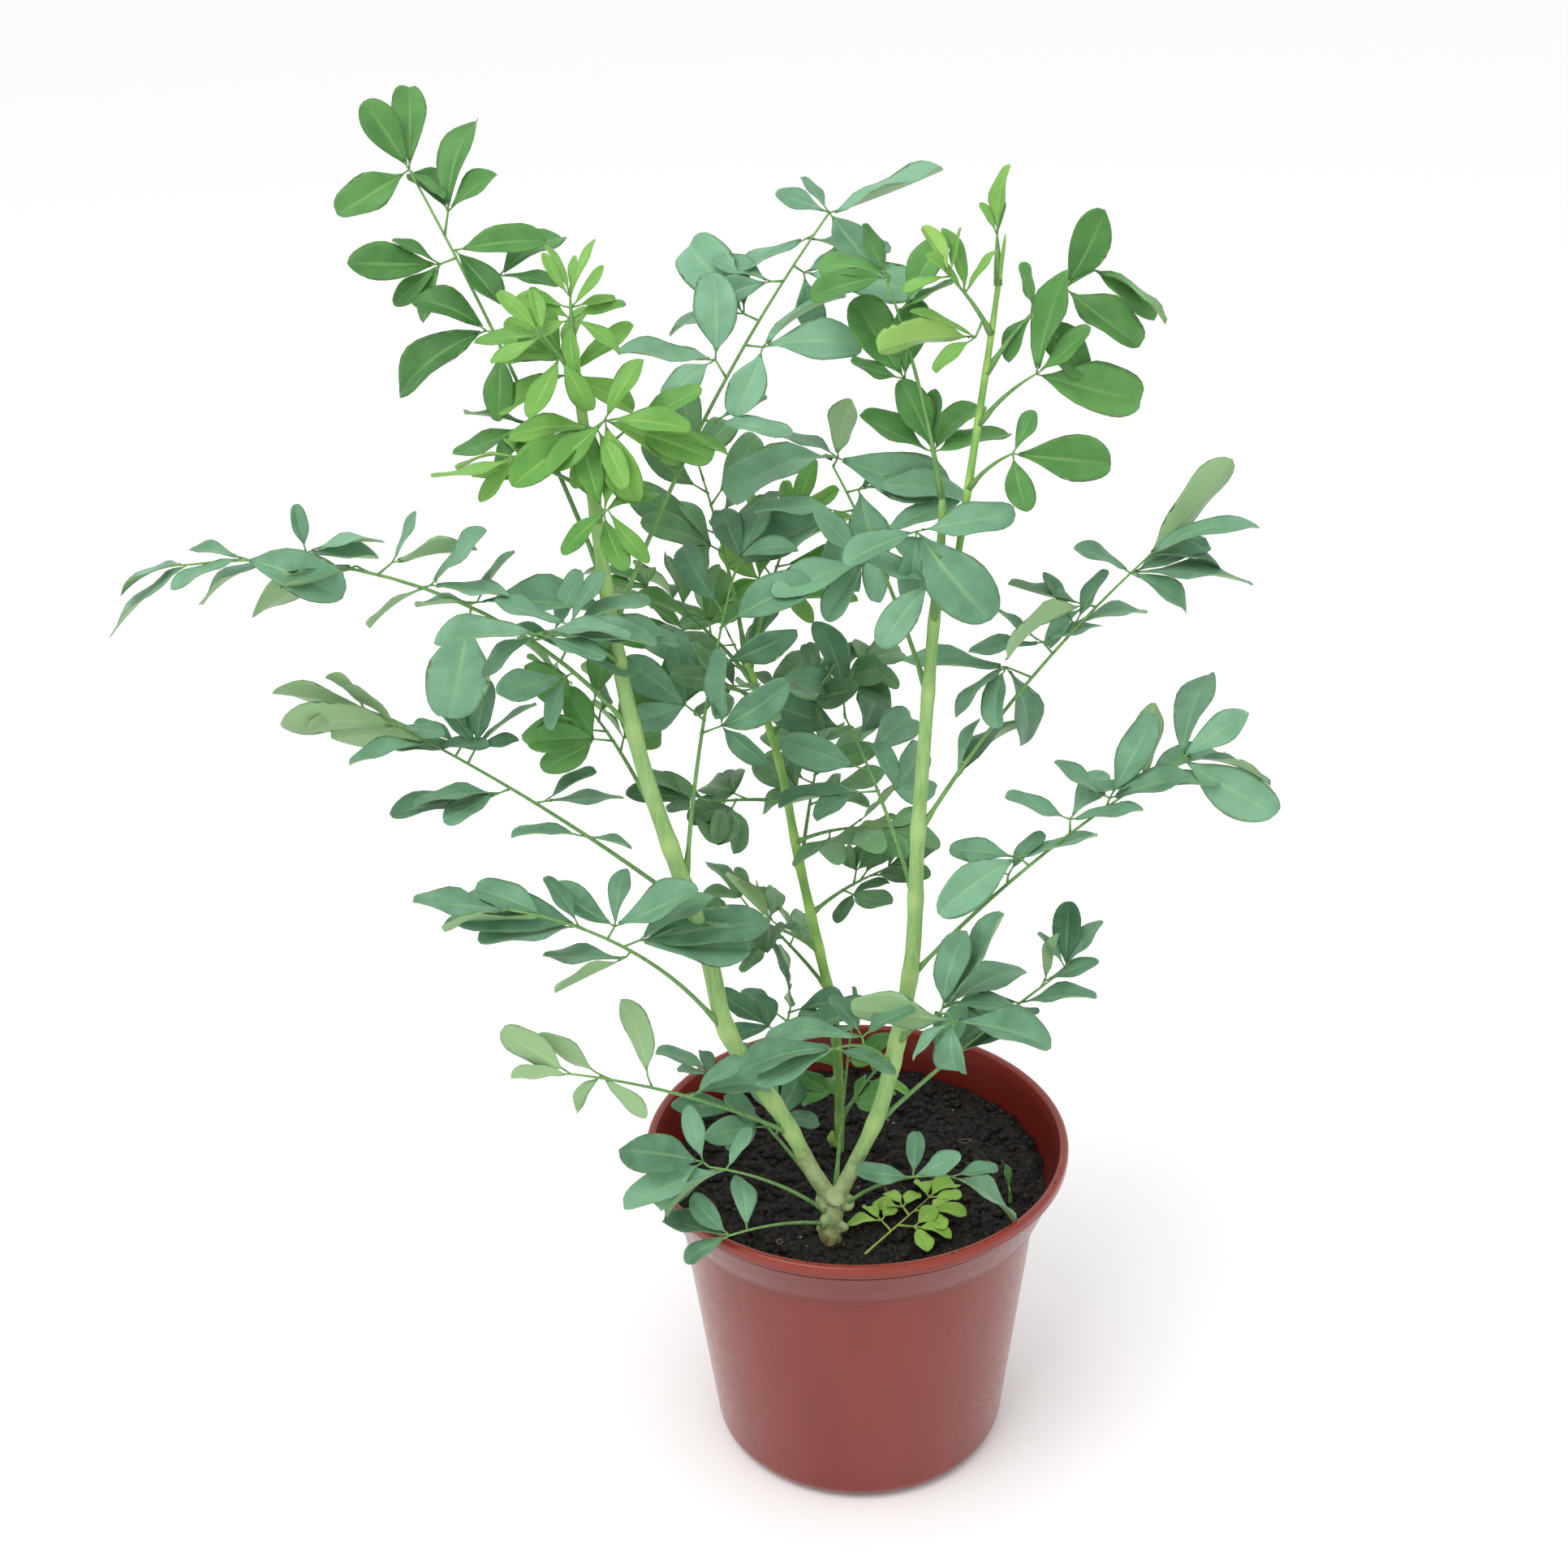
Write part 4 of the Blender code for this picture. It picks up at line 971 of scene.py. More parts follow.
# %% Grow the crown
STUMP = [
    (-0.0095, -0.0378, 0.090, 0.0037), (-0.0097, -0.0378, 0.0975, 0.0039),
    (-0.0100, -0.0376, 0.1010, 0.0037), (-0.0098, -0.0370, 0.1045, 0.0030),
    (-0.0090, -0.0360, 0.1080, 0.0034), (*FORK, 0.0032),
]  # x, y, z and radius
parts = Parts()
tube(parts, [Vector(ring[:3]) for ring in STUMP], [ring[3] for ring in STUMP], sides=STEM_SIDES)
for name, lift in (("left", 0.012), ("right", 0.010)):
    stem = STEMS[name]
    top = stem.joints[0][2] + lift
    path = [point for point in smooth_path(stem.joints, STEM_STEPS) if point.z < top]
    path = [FORK, FORK.lerp(path[0], 0.5)] + path[::3]
    taper = [1.02 - 0.12 * k / (len(path) - 1) for k in range(len(path))]
    radii = [stem.foot_radius * SLENDER[name] * share for share in taper]
    tube(parts, path, radii, sides=STEM_SIDES)
knobs = [
    (Vector((-0.0030, -0.0030, -0.0045)), 0.0027), (Vector((0.0002, -0.0022, 0.0040)), 0.0037),
    (Vector((-0.0035, -0.0005, 0.0015)), 0.0034), (Vector((0.0034, -0.0006, 0.0012)), 0.0032),
    (Vector((0.0028, -0.0035, -0.0065)), 0.0022), (Vector((-0.0040, -0.0010, -0.0085)), 0.0022),
]
dice = random.Random(3)
for offset, size in knobs:
    crumb(parts, FORK + offset, size, 0, dice, detail=2)
crown = parts.make("woody_crown", [crown_skin])
fuse = crown.modifiers.new("Fuse", "REMESH")
fuse.mode = "VOXEL"
fuse.voxel_size = 0.00045
smooth = crown.modifiers.new("Smooth", "SMOOTH")
smooth.factor = 0.6
smooth.iterations = 7
apply_modifiers(crown)
crown.data.shade_smooth()
settle(crown, "woody_crown", "crown")
print("crown has", len(crown.data.polygons), "faces")

# %% [markdown]
# ## Leaflets
# A leaflet is spoon-shaped: a narrow wedge at the base, widest past the middle, and round
# at the tip. It folds a little along its midrib, curls along its length and is thin at
# the margin. One template holds its grid of points, and each leaflet bends that grid by
# its own fold, curl and twist, so no two are the same.

# %% Leaflet template
ROWS = [0.0, 0.10, 0.20, 0.32, 0.44, 0.56, 0.67, 0.77, 0.86, 0.93, 0.975]
COLUMNS = [-1.0, -0.80, -0.50, -0.22, -0.06, 0.0, 0.06, 0.22, 0.50, 0.80, 1.0]
WIDEST = 0.56
BLADE_THICKNESS = 0.00034


def blade_template():
    """The grid of a leaflet: (along, across, side) of its points, its faces and undersides."""
    spots, index, faces, under = [], {}, [], []

    def spot(row, column, side):
        """A grid point's number. Both sides share the points on the base and the margin."""
        shared = row == 0 or row == len(ROWS) or column in (0, len(COLUMNS) - 1)
        key = (row, column if row < len(ROWS) else 0, 0 if shared else side)
        if key not in index:
            along = ROWS[row] if row < len(ROWS) else 1.0
            across = COLUMNS[column] if row < len(ROWS) else 0.0
            index[key] = len(spots)
            spots.append((along, across, 0 if shared else side))
        return index[key]

    for side in (1, -1):
        for row in range(len(ROWS)):
            for column in range(len(COLUMNS) - 1):
                face = [spot(row, column, side), spot(row + 1, column, side)]
                face += [spot(row + 1, column + 1, side), spot(row, column + 1, side)]
                face = list(dict.fromkeys(face))
                if side == 1:
                    face.reverse()
                faces.append(tuple(face))
                under.append(0.0 if side == 1 else 1.0)
    return np.array(spots), faces, under


SPOTS, BLADE_FACES, BLADE_UNDER = blade_template()
print("a leaflet has", len(SPOTS), "points and", len(BLADE_FACES), "faces")


# %% Shape a leaflet
def half_width(along):
    """A leaflet's half width along its length, as a share of its widest."""
    wedge = np.sin(np.pi / 2 * np.clip(along / WIDEST, 0, 1)) ** 1.25
    past = np.clip((along - WIDEST) / (1 - WIDEST), 0, 1)
    return np.where(along < WIDEST, np.maximum(wedge, 0.03), np.sqrt(1 - past ** 2.1))


def leaflet(parts, pose, length, dice, tone, broad):
    """One leaflet in the pose's frame: base at its origin, along +X, upper face up."""
    along, across, side = SPOTS.T
    width = length * broad * dice.uniform(0.86, 1.16)
    fold = math.tan(math.radians(dice.uniform(6, 30)))
    curl = math.radians(dice.uniform(-14, 46))
    twist = math.radians(dice.uniform(-24, 24))
    sway = math.radians(dice.uniform(-22, 22))
    phase = dice.uniform(0, 6)
    y = across * half_width(along) * width
    z = np.sqrt(across ** 2 + 0.01) * half_width(along) * width * fold
    z = z + 0.13 * width * np.sin(along * 10 + phase + across) * across ** 2
    z = z - 0.00014 * np.exp(-(across / 0.09) ** 2) * (along > 0.02)
    z = z + side * BLADE_THICKNESS / 2 * (1 - across ** 4)
    turn = twist * along
    y, z = y * np.cos(turn) - z * np.sin(turn), y * np.sin(turn) + z * np.cos(turn)
    bend = curl * along
    safe = curl if abs(curl) > 1e-4 else 1e-4  # a straight blade is still divided by its curl
    x = length * np.sin(safe * along) / safe + z * np.sin(bend)
    z = -length * (1 - np.cos(safe * along)) / safe + z * np.cos(bend)
    y = y + length * sway * along ** 2 * 0.5
    local = np.stack([x, y, z, np.ones_like(x)], 1)
    points = (local @ np.array(pose).T)[:, :3]
    mark_tone = min(1.0, max(0.0, tone + dice.uniform(-0.28, 0.28)))
    marks = [(a, b, mark_tone) for a, b in zip(along, across)]
    parts.put([Vector(point) for point in points], marks, BLADE_FACES, under=BLADE_UNDER)


# A leaflet's half width as a share of its length.
BROAD = {"old": 0.228, "mid": 0.235, "young": 0.19, "fallen": 0.30}
print("a 24 mm old leaflet is about", round(24 * 2 * BROAD["old"], 1), "mm wide")

# %% [markdown]
# ## Leaves
# Each leaf is a stalk with groups of leaflets to both sides and one at its end. A group
# has a short stalk of its own and three leaflets, or one in the upper part. The solids
# hold every second group; here each gets its partner on the other side, as the real leaf
# has.

# %% Group frames
GROUP_TURNS = [
    (0, 0, 0), (24, 0, 0), (-24, 0, 0), (0, 20, 0), (0, -20, 0), (0, 0, 16), (0, 0, -16),
    (40, 16, 0), (-40, 16, 0), (40, -16, 0), (-40, -16, 0), (0, 34, 12), (0, -34, -12),
    (60, 0, 14), (-60, 0, -14), (20, 40, -20), (-20, -40, 20), (75, 20, 0), (-75, 20, 0),
]
SIDE_ANGLE = 58  # between a group's end leaflet and its side ones
SIDE_SIZE = 0.82
SMALLER = 0.82  # the size of a group that the solids had less room for
GROUP_STALK = 0.42
GROUP_ANGLE, GROUP_CLOSING = 62, 16  # side groups stand out less towards the leaf's tip
GROUP_ROLL, GROUP_LIFT = 14, 8  # how far the groups swing about the leaf's own plane
GROUP_TAPER = 0.22
FIRST_SINGLE = 0.3  # past this share of the groups, a group has one leaflet
PARTNER_OFFSET = 0.004  # a partner group sits a little further up the stalk


def group_reach(leaf, index):
    """How far along the stalk a side group sits."""
    bare = BARE_SHARE * leaf.length
    return bare + (leaf.length - bare) * index / leaf.groups


def group_pose(leaf, root, index, turn, mirrored=False):
    """The frame of a leaflet group: side groups in order, then the end one."""
    about, lift, swing = (math.radians(angle) for angle in turn)
    if index == leaf.groups:
        made = leaf_frame(leaf, root, leaf.length - 0.0012)
        side_angle = 0.0
    else:
        reach = group_reach(leaf, index) + (PARTNER_OFFSET if mirrored else 0.0)
        made = leaf_frame(leaf, root, min(reach, leaf.length))
        side = 1 if index % 2 else -1
        side_angle = math.radians(GROUP_ANGLE - GROUP_CLOSING * index / leaf.groups)
        side_angle *= -side if mirrored else side
    about += math.radians(GROUP_ROLL) * math.sin(2.4 * index + leaf.azimuth)
    lift += math.radians(GROUP_LIFT) * math.cos(3.1 * index + leaf.azimuth)
    return (
        made
        @ Matrix.Rotation(side_angle + swing, 4, "Z")
        @ Matrix.Rotation(-lift, 4, "Y")
        @ Matrix.Rotation(about, 4, "X")
    )


def group_size(leaf, index):
    """The leaflet length of a group in the solids, which gets smaller towards the tip."""
    return leaf.leaflet * (1.0 - GROUP_TAPER * index / max(leaf.groups, 1))


def is_single(leaf, index):
    """Whether a group has one leaflet: the upper side groups, and a leaf without any."""
    return leaf.groups == 0 or leaf.groups * FIRST_SINGLE < index < leaf.groups


def find_group(leaf, root, index, solid):
    """The turn and size that put the end leaflet's tip corners on the solid's own points."""
    best = None
    single = is_single(leaf, index)
    for scale in (1.0, SMALLER):
        size = group_size(leaf, index) * scale
        hub = GROUP_STALK * size * (0.5 if single else 1.0)
        for turn in GROUP_TURNS:
            pose = group_pose(leaf, root, index, turn)
            error = 0.0
            for side in (1, -1):
                corner = pose @ Vector((hub + size * 0.92, side * size * 0.15, 0.00025))
                error += solid.find(corner)[2]
            if best is None or error < best[0] - 1e-7:
                best = (error, turn, scale)
    return best


print("group turns to try:", len(GROUP_TURNS))


# %% Grow one leaflet group
def grow_group(parts, pose, size, single, dice, tone, broad):
    """A leaflet group: its own stalk and one or three leaflets."""
    stalk = GROUP_STALK * size * (0.5 if single else 0.7)
    ends = [pose @ Vector((x, 0, 0)) for x in (-0.0006, stalk * 0.5, stalk + 0.001)]
    tube(parts, ends, [0.00045, 0.00034, 0.00028], sides=6, slot=1)
    hub = pose @ Matrix.Translation((stalk, 0, 0))
    leaflet(parts, hub, size * dice.uniform(0.95, 1.12), dice, tone, broad)
    if single:
        return
    for side in (1, -1):
        angle = side * math.radians(SIDE_ANGLE - 8 + dice.uniform(-14, 12))
        turn = Matrix.Rotation(angle, 4, "Z") @ Matrix.Rotation(dice.uniform(-0.35, 0.35), 4, "X")
        length = size * SIDE_SIZE * dice.uniform(0.80, 1.08)
        leaflet(parts, hub @ turn, length, dice, tone, broad)


print("a full group has three leaflets")

# %% [markdown]
# ## Sprays set one by one
# The outer leaves make the plant's outline, so their leaflets are set one by one, seen
# from the front and a little above. A spray sits at a share of the leaf stalk's length on
# a side stalk of its own, so many millimetres long. Directions are clock angles: 0 is to
# the right and 90 is up. A blade's turn is 0 when its upper face looks at the viewer, 90
# when it looks up, and past 90 when the pale side shows.

# %% Listed sprays
Spray = namedtuple("Spray", "share clock reach blades")  # blades: (clock, length, turn[, width])

# Rows hold a spray's share, clock angle, reach and blades.
SPRAY_TABLE = {
    "left_leaf_10": [
        (1.00, 0, 0, [(86, 25, 10), (120, 18, 25), (216, 22, 0), (318, 13, 40)]),
        (0.82, 80, 9, [(86, 26, 15), (116, 16, 25), (40, 16, 20)]),
        (0.78, 0, 1, [(8, 24, 15), (310, 19, 10)]),
        (0.76, 195, 7, [(181, 24, 0), (240, 15, 20), (217, 16, 30), (150, 12, 40)]),
        (0.56, 165, 3, [(142, 19, 30), (203, 29, 20)]),
        (0.54, 285, 3, [(270, 19, 0), (338, 12, 40)]),
        (0.32, 180, 3, [(163, 19, 60), (203, 23, 45), (230, 14, 30)]),
        (0.70, 10, 12, [(48, 22, 30, 1.25), (350, 15, 50)]),
    ],
    "left_leaf_07": [
        (1.00, 0, 0, [(207, 28, 60), (178, 19, 75)]),
        (0.90, 20, 3, [(342, 25, 35), (165, 13, 50), (200, 16, 60)]),
        (0.82, 200, 3, [(190, 20, 60), (350, 18, 45)]),
        (0.76, 60, 4, [(100, 10, 40), (20, 18, 55), (352, 16, 50)]),
        (0.62, 150, 5, [(195, 27, 115), (207, 17, 60)]),
        (0.60, 40, 7, [(14, 20, 115), (60, 13, 60)]),
        (0.50, 20, 3, [(40, 19, 65), (200, 18, 70), (350, 20, 55)]),
        (0.40, 15, 4, [(2, 31, 35), (62, 15, 60), (178, 15, 70)]),
        (0.39, 262, 3, [(256, 26, 0, 1.3)]),
        (0.24, 10, 8, [(4, 31, 55), (330, 22, 50), (60, 17, 40)]),
        (0.16, 60, 5, [(20, 24, 40), (150, 16, 50)]),
        (0.12, 200, 3, [(195, 18, 35), (240, 13, 30)]),
    ],
    "left_leaf_04": [
        (1.00, 0, 0, [(125, 13, 110), (163, 24, 125), (196, 14, 120)]),
        (0.90, 0, 0, [(168, 27, 130), (350, 13, 60), (140, 16, 120)]),
        (0.80, 0, 0, [(165, 24, 125), (185, 20, 60), (352, 15, 60)]),
        (0.72, 60, 5, [(88, 13, 25), (150, 13, 60), (178, 18, 60)]),
        (0.68, 60, 7, [(78, 17, 15), (45, 19, 70), (14, 11, 30), (112, 14, 40)]),
        (0.54, 200, 5, [(190, 28, 65), (176, 21, 60), (206, 15, 50)]),
        (0.46, 10, 4, [(2, 20, 60), (32, 15, 60)]),
        (0.28, 165, 2, [(168, 18, 70), (350, 12, 70)]),
    ],
    "left_leaf_03": [
        (1.00, 0, 0, [(172, 23, 60), (186, 17, 100)]),
        (0.84, 0, 0, [(180, 27, 95), (150, 20, 45)]),
        (0.66, 150, 4, [(163, 32, 30), (190, 25, 60), (112, 14, 40)]),
        (0.56, 60, 6, [(150, 18, 30), (20, 24, 35), (84, 15, 40)]),
        (0.48, 20, 7, [(8, 34, 40), (350, 28, 45), (40, 22, 50)]),
        (0.44, 230, 3, [(205, 20, 115), (180, 22, 60)]),
    ],
    "left_leaf_01": [
        (1.00, 0, 0, [(147, 20, 145), (184, 15, 140)]),
        (0.82, 150, 4, [(150, 19, 140), (310, 15, 150), (222, 10, 150)]),
        (0.62, 110, 5, [(97, 20, 150)]),
        (0.44, 20, 3, [(15, 21, 40), (42, 15, 60)]),
    ],
    "left_leaf_09": [
        (0.94, 0, 0, [(14, 31, 68), (122, 12, 40), (300, 18, 0, 1.2), (160, 13, 30)]),
        (0.88, 200, 3, [(205, 20, 50), (355, 21, 50)]),
        (0.80, 330, 5, [(350, 29, 30), (278, 15, 10), (28, 19, 50)]),
        (0.76, 185, 5, [(190, 16, 0, 1.3), (150, 15, 40)]),
        (0.66, 150, 7, [(126, 25, 10, 1.25), (170, 22, 45), (88, 15, 30)]),
        (0.60, 350, 7, [(8, 24, 25), (45, 26, 60), (252, 18, 0, 1.2)]),
        (0.52, 120, 8, [(84, 20, 20, 1.2), (174, 26, 60), (214, 17, 40)]),
        (0.42, 350, 4, [(350, 18, 40), (30, 15, 50)]),
    ],
    "right_leaf_06": [
        (0.84, 0, 0, [(44, 31, 125, 0.85), (36, 26, 55, 0.8), (8, 19, 50)]),
        (0.78, 0, 0, [(2, 30, 60), (335, 17, 30), (20, 23, 45), (150, 15, 60)]),
        (0.66, 160, 4, [(195, 26, 120), (168, 20, 60), (216, 15, 50)]),
        (0.56, 60, 5, [(20, 20, 60), (120, 15, 50), (60, 15, 60)]),
        (0.50, 130, 6, [(185, 18, 60), (150, 14, 60), (20, 15, 50)]),
        (0.42, 155, 11, [(178, 26, 65), (302, 25, 45), (240, 15, 50), (210, 18, 70)]),
        (0.10, 0, 1, [(50, 26, 60), (75, 16, 70)]),
    ],
    "right_leaf_04": [
        (0.88, 0, 0, [(325, 29, 0, 1.1), (75, 28, 50), (0, 24, 78), (35, 20, 40)]),
        (0.74, 40, 4, [(28, 24, 40), (82, 21, 140), (350, 19, 60), (200, 14, 60)]),
        (0.64, 70, 4, [(60, 24, 30), (150, 17, 50), (18, 20, 50)]),
        (0.52, 90, 6, [(160, 17, 45), (50, 18, 40), (8, 18, 60)]),
        (0.38, 140, 6, [(168, 18, 45), (205, 26, 15, 1.15), (15, 21, 65)]),
        (0.30, 80, 4, [(60, 14, 60), (150, 12, 60)]),
    ],
    "right_leaf_01": [
        (1.00, 0, 0, [(86, 18, 20), (62, 16, 70), (120, 11, 60)]),
        (0.86, 60, 3, [(70, 13, 140), (20, 15, 50)]),
        (0.74, 0, 0, [(12, 19, 60), (178, 15, 60)]),
        (0.56, 60, 2, [(150, 14, 60), (20, 13, 70)]),
        (0.26, 70, 3, [(42, 27, 62), (24, 25, 66), (70, 17, 50), (105, 13, 40)]),
    ],
    "right_leaf_02": [
        (0.45, 100, 4, [(172, 27, 64), (40, 15, 50), (120, 13, 50)]),
        (0.95, 0, 0, [(176, 24, 68), (196, 20, 66), (350, 16, 66)]),
    ],
    "right_leaf_03": [
        (0.62, 300, 4, [(354, 25, 62, 1.1), (262, 15, 20, 1.5), (174, 24, 135), (205, 14, 50)]),
        (0.50, 60, 3, [(50, 29, 66), (30, 27, 64), (84, 21, 45), (14, 23, 66)]),
    ],
    "right_leaf_08": [
        (1.00, 130, 14, [(302, 28, 0, 1.15), (200, 19, 30), (262, 17, 0, 1.1), (8, 24, 45)]),
        (0.40, 200, 3, [(225, 20, 10), (165, 22, 50)]),
    ],
    "right_leaf_07": [
        (0.86, 60, 4, [(84, 16, 140, 1.7), (180, 30, 65), (334, 31, 20), (140, 18, 50)]),
        (0.74, 10, 5, [(4, 27, 40), (280, 18, 10, 1.2), (40, 18, 40)]),
        (0.66, 190, 6, [(204, 30, 25), (264, 22, 0, 1.1), (170, 22, 50)]),
        (0.54, 20, 5, [(330, 20, 30), (20, 20, 40), (262, 18, 10)]),
        (0.42, 160, 6, [(200, 24, 40), (140, 18, 40), (230, 18, 30)]),
    ],
    "right_leaf_09": [
        (1.00, 60, 2, [(125, 15, 30), (157, 20, 50), (188, 21, 30)]),
        (0.84, 20, 3, [(62, 22, 30), (30, 16, 50)]),
        (0.40, 150, 6, [(126, 25, 10), (88, 20, 0), (170, 15, 40)]),
        (0.02, 0, 0, [(60, 20, 30), (112, 20, 20), (20, 22, 40), (158, 22, 40), (85, 16, 50)]),
    ],
    "shoot_leaf_01": [(1.00, 0, 0, [(352, 27, 12), (276, 15, 0, 1.15), (60, 12, 40)])],
    "shoot_leaf_02": [(0.90, 0, 0, [(346, 30, 5), (78, 27, 50), (30, 16, 30)])],
    "shoot_leaf_03": [
        (1.00, 0, 0, [(335, 23, 60), (320, 20, 30)]),
        (0.72, 0, 0, [(314, 25, 10), (52, 20, 10, 1.15)]),
        (0.42, 0, 0, [(308, 21, 0), (225, 14, 30), (110, 12, 50)]),
    ],
    "shoot_leaf_04": [
        (0.05, 245, 8, [(172, 26, 110, 1.2), (156, 17, 60), (215, 13, 30)]),
        (0.60, 0, 0, [(96, 17, 40), (135, 13, 60), (55, 12, 50)]),
        (1.00, 0, 0, [(105, 14, 130, 1.1), (75, 12, 60), (190, 12, 40)]),
    ],
    "shoot_leaf_05": [(0.40, 0, 0, [(87, 17, 55), (78, 12, 30), (110, 9, 40)])],
    "left_leaf_08": [
        (1.00, 0, 0, [(0, 28, 65), (12, 22, 60), (182, 24, 66), (204, 18, 50), (338, 18, 58)]),
        (0.60, 90, 5, [(165, 18, 65), (20, 20, 60), (60, 14, 50)]),
    ],
    "left_leaf_11": [
        (0.35, 0, 0, [(75, 20, 10), (110, 22, 15), (282, 16, 0), (40, 18, 20)]),
        (0.60, 0, 0, [(300, 16, 20), (215, 15, 30)]),
    ],
    "left_leaf_12": [
        (0.70, 0, 0, [(165, 18, 60), (203, 22, 45), (228, 15, 30)]),
        (0.30, 0, 0, [(172, 22, 40), (140, 18, 30)]),
    ],
    "left_leaf_13": [
        (0.35, 0, 0, [(2, 28, 40), (25, 22, 40), (344, 24, 25)]),
    ],
    "left_leaf_14": [
        (0.30, 0, 0, [(344, 25, 25), (356, 22, 35), (282, 22, 0, 1.3)]),
        (0.30, 0, 0, [(226, 19, 25, 1.2), (60, 18, 20)]),
        (0.10, 0, 0, [(213, 25, 25), (201, 26, 35), (172, 24, 40), (245, 16, 10), (300, 17, 10)]),
    ],
    "left_leaf_15": [
        (0.35, 0, 0, [(118, 21, 20), (150, 20, 30), (80, 17, 20), (175, 18, 40)]),
        (0.20, 0, 0, [(30, 20, 30), (200, 20, 30), (330, 20, 20)]),
    ],
    "left_leaf_16": [
        (0.80, 0, 0, [(180, 17, 40), (135, 15, 30), (100, 12, 20), (215, 14, 30)]),
        (0.30, 0, 0, [(250, 16, 10), (300, 16, 10), (160, 18, 30)]),
    ],
    "left_leaf_17": [
        (0.70, 0, 0, [(66, 15, 30, 0.7), (82, 12, 20, 0.7)]),
        (0.70, 0, 0, [(130, 11, 30, 0.8), (104, 14, 40, 0.7)]),
        (0.40, 0, 0, [(42, 12, 30, 0.8), (162, 12, 30, 0.8)]),
        (0.40, 0, 0, [(18, 12, 40, 0.8), (90, 12, 60, 0.7)]),
        (0.10, 0, 0, [(150, 15, 20), (30, 14, 20), (205, 15, 30), (335, 15, 30), (265, 14, 10)]),
    ],
    "fallen_leaf": [
        (0.40, 118, 8, [(118, 11, 0), (62, 10, 8), (172, 10, -8)]),
        (0.50, -12, 7, [(-12, 11, 0), (42, 9, 6), (-66, 10, -10)]),
        (0.68, 112, 6, [(112, 10, 5), (166, 9, 0), (64, 9, 0)]),
        (0.76, -6, 6, [(-6, 10, 0), (46, 9, 0), (-60, 9, 10)]),
        (1.00, 52, 0, [(52, 11, 0), (104, 9, 0), (2, 9, 0)]),
    ],
    "crown_leaf_01": [
        (1.00, 0, 0, [(140, 14, 20), (170, 19, 60), (205, 14, 60)]),
        (0.82, 0, 0, [(92, 15, 20)]),
    ],
    "crown_leaf_02": [
        (1.00, 140, 3, [(160, 23, 20), (104, 15, 10), (205, 16, 40)]),
        (0.86, 0, 0, [(200, 20, 130), (188, 28, 60), (52, 12, 50)]),
    ],
    "crown_leaf_04": [
        (1.00, 0, 0, [(335, 23, 60), (15, 12, 60)]),
        (0.66, 0, 0, [(175, 15, 30), (82, 12, 20), (25, 14, 40)]),
    ],
}
ARRANGED = {node: [Spray(*row) for row in rows] for node, rows in SPRAY_TABLE.items()}
blade_count = sum(len(spray.blades) for sprays in ARRANGED.values() for spray in sprays)
print(len(ARRANGED), "leaves set by hand,", blade_count, "blades")

# %% Set a spray
PETIOLE = 0.0016  # the short stalk of one leaflet
VIEW_TILT = math.radians(CAMERA_TILT)
VIEW_RIGHT = Vector((1, 0, 0))
VIEW_UP = Vector((0, math.sin(VIEW_TILT), math.cos(VIEW_TILT)))
TOWARDS = Vector((0, -math.cos(VIEW_TILT), math.sin(VIEW_TILT)))


def front_pose(base, clock, turn, lean):
    """A blade's frame from its clock angle, its turn and its lean towards the viewer."""
    angle = math.radians(clock)
    lean = math.radians(lean)
    ahead = VIEW_RIGHT * math.cos(angle) + VIEW_UP * math.sin(angle)
    ahead = ahead * math.cos(lean) + TOWARDS * math.sin(lean)
    face = (TOWARDS - ahead * TOWARDS.dot(ahead)).normalized()
    side = ahead.cross(face)
    if side.z < 0:
        side = -side
    normal = face * math.cos(math.radians(turn)) + side * math.sin(math.radians(turn))
    made = Matrix((ahead, normal.cross(ahead), normal)).transposed().to_4x4()
    made.translation = base
    return made


def flat_pose(base, clock, turn, lean):
    """The same for a leaf that lies on the soil, where clock angles are seen from above."""
    turned = Matrix.Translation(base) @ Matrix.Rotation(math.radians(clock), 4, "Z")
    turned = turned @ Matrix.Rotation(math.radians(-0.25 * abs(lean)), 4, "Y")
    return turned @ Matrix.Rotation(math.radians(turn), 4, "X")


def set_sprays(parts, leaf, root, sprays, dice, tone):
    """Grow a leaf's listed sprays."""
    blade_pose = flat_pose if leaf.age == "fallen" else front_pose
    for spray in sprays:
        start = leaf_frame(leaf, root, leaf.length * spray.share).translation
        hub = start
        if spray.reach:
            heading = blade_pose(start, spray.clock, 0, dice.uniform(-25, 25))
            hub = heading @ Vector((spray.reach * 0.75 / 1000, 0, 0))
            side_stalk = [start, start.lerp(hub, 0.5), hub]
            tube(parts, side_stalk, [0.00045, 0.00036, 0.0003], sides=6, slot=1)
        for clock, length, turn, *width in spray.blades:
            lean = dice.uniform(-28, 28)
            pose = blade_pose(hub, clock, turn, lean)
            petiole = [hub, pose @ Vector((PETIOLE + 0.001, 0, 0))]
            tube(parts, petiole, [0.0003, 0.00026], sides=6, slot=1)
            broad = BROAD[leaf.age] * (width[0] if width else 1.0)
            seat = pose @ Matrix.Translation((PETIOLE, 0, 0))
            size = length / 1000 / math.cos(math.radians(lean))
            size = size * (1.1 if leaf.age == "old" else 1.0)
            leaflet(parts, seat, size, dice, tone, broad)


print("turn 0 faces", [round(c, 2) for c in TOWARDS])
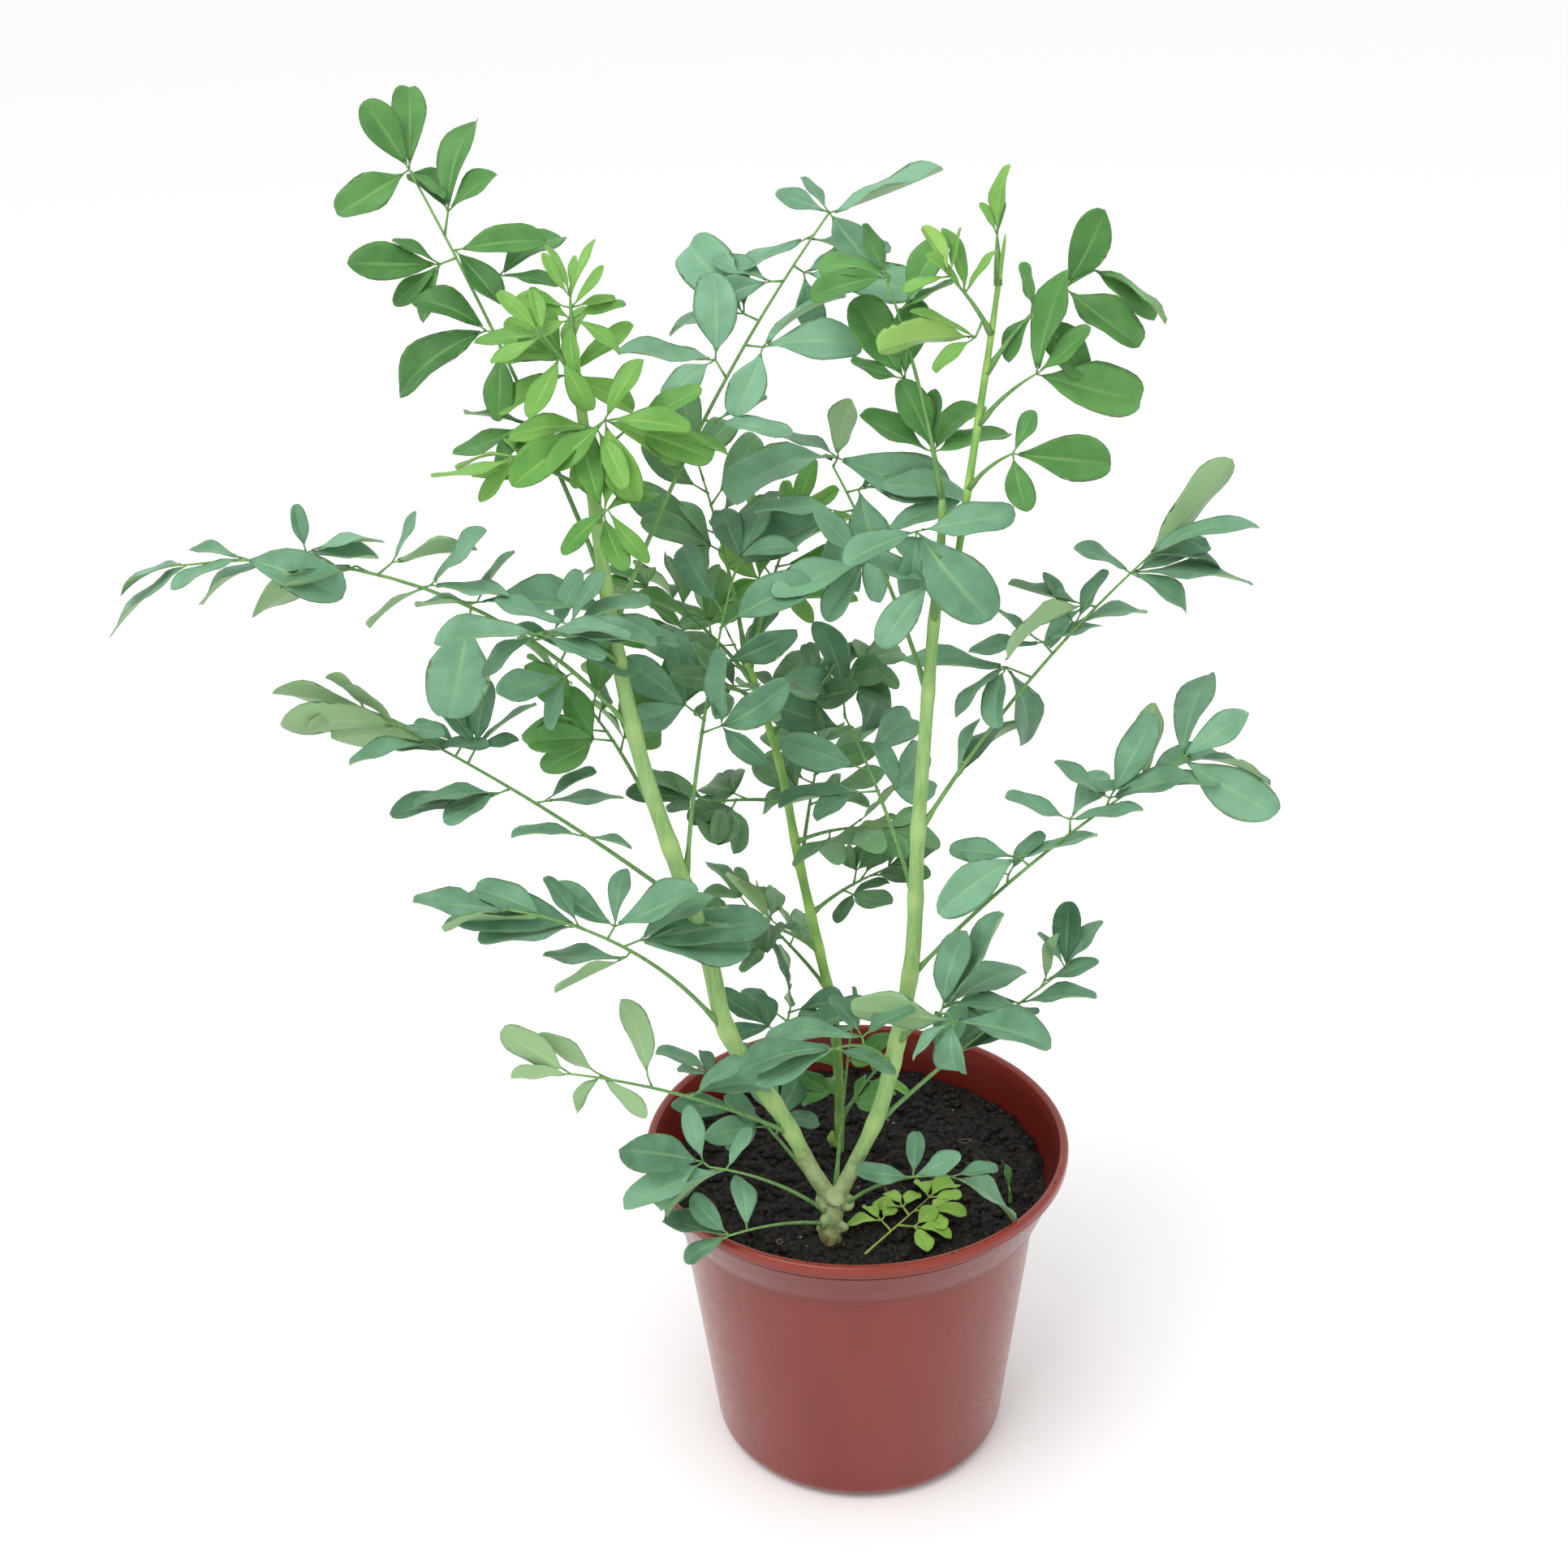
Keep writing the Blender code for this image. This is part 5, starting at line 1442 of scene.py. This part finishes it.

# %% [markdown]
# ## Growing every leaf
# A leaf stalk starts inside its stem with a flared foot. The outer leaves take their
# listed sprays. The inner ones take their groups from the solids, and each group gets
# its partner on the other side, because the solids hold only every second one.

# %% Grow the leaves
AGE_SLOTS = {
    "old": "glaucous_leaf", "mid": "green_leaf", "young": "young_leaf", "fallen": "fallen_leaf",
}
STALK_SLENDER = 0.72
STALK_SPANS = 14
FIT = 0.0004  # a group is in the solids when its tip corners fall this near
TONES = {  # painted light: the leaves that face the light at the front and top get a paler tone
    "right_leaf_07": 0.85, "right_leaf_08": 0.75, "right_leaf_04": 0.7, "left_leaf_09": 0.75,
    "left_leaf_07": 0.65, "left_leaf_03": 0.5, "left_leaf_10": 0.4, "left_leaf_08": 0.6,
}
missing = 0
leaflet_faces = 0


def flutter(dice):
    """A random turn, so that blades catch the light differently."""
    roll = Matrix.Rotation(math.radians(dice.uniform(-38, 38)), 4, "X")
    return roll @ Matrix.Rotation(math.radians(dice.uniform(-20, 20)), 4, "Y")


for node, (stem_name, leaf, root) in SETTLED.items():
    solid = tree_of(node)
    dice = random.Random(node)
    parts = Parts()
    sprays = ARRANGED.get(node)
    reach = leaf.length * (max(spray.share for spray in sprays) if sprays else 1.0)
    shares = [k / STALK_SPANS for k in range(STALK_SPANS + 1)]
    path = [leaf_frame(leaf, root, reach * share).translation for share in shares]
    thinning = STALK_TIP_RADIUS * 0.7 - STALK_RADIUS
    radii = [STALK_RADIUS + thinning * share for share in shares]
    if stem_name:
        axis = stem_at(stem_name, leaf.height)[0]
        path = [axis, axis.lerp(root, 0.6)] + path
        radii = [STALK_RADIUS * 1.7, STALK_RADIUS * 1.45] + radii
    slender = STALK_SLENDER * (0.6 if leaf.age == "fallen" else 1.0)
    tube(parts, path, [r * slender for r in radii], sides=8, slot=1, tone=0.4)
    tone = TONES.get(node, 0.30 + 0.45 * dice.random())
    if sprays:
        set_sprays(parts, leaf, root, sprays, dice, tone)
    for index in range(0 if sprays else leaf.groups + 1):
        error, turn, scale = find_group(leaf, root, index, solid)
        found = error < FIT
        missing += not found
        if not found:
            turn, scale = (0, 0, 0), 0.8
        size = leaf.leaflet * (1.0 - 0.08 * index / max(leaf.groups, 1)) * max(scale, 0.9)
        single = is_single(leaf, index)
        broad = BROAD[leaf.age]
        pose = group_pose(leaf, root, index, turn) @ flutter(dice)
        grow_group(parts, pose, size, single, dice, tone, broad)
        if index < leaf.groups:
            partner = group_pose(leaf, root, index, (turn[0] * -0.5, turn[1], 0), mirrored=True)
            partner = partner @ flutter(dice)
            grow_group(parts, partner, size * 0.92, single, dice, tone, broad)
    shaded = stem_name == "rear" and leaf.age == "old"  # painted shade: the inner leaves get a darker, less blue skin
    skin = LEAF_SKINS["shaded" if shaded else leaf.age]
    second_skin = shed_stalk_skin if leaf.age == "fallen" else stalk_skin
    made = parts.make(f"{node}_blades", [skin, second_skin])
    settle(made, AGE_SLOTS[leaf.age], node)
    leaflet_faces += len(made.data.polygons)
print(len(SETTLED), "leaves grown,", leaflet_faces, "faces")
print(missing, "groups had no room in the solids")
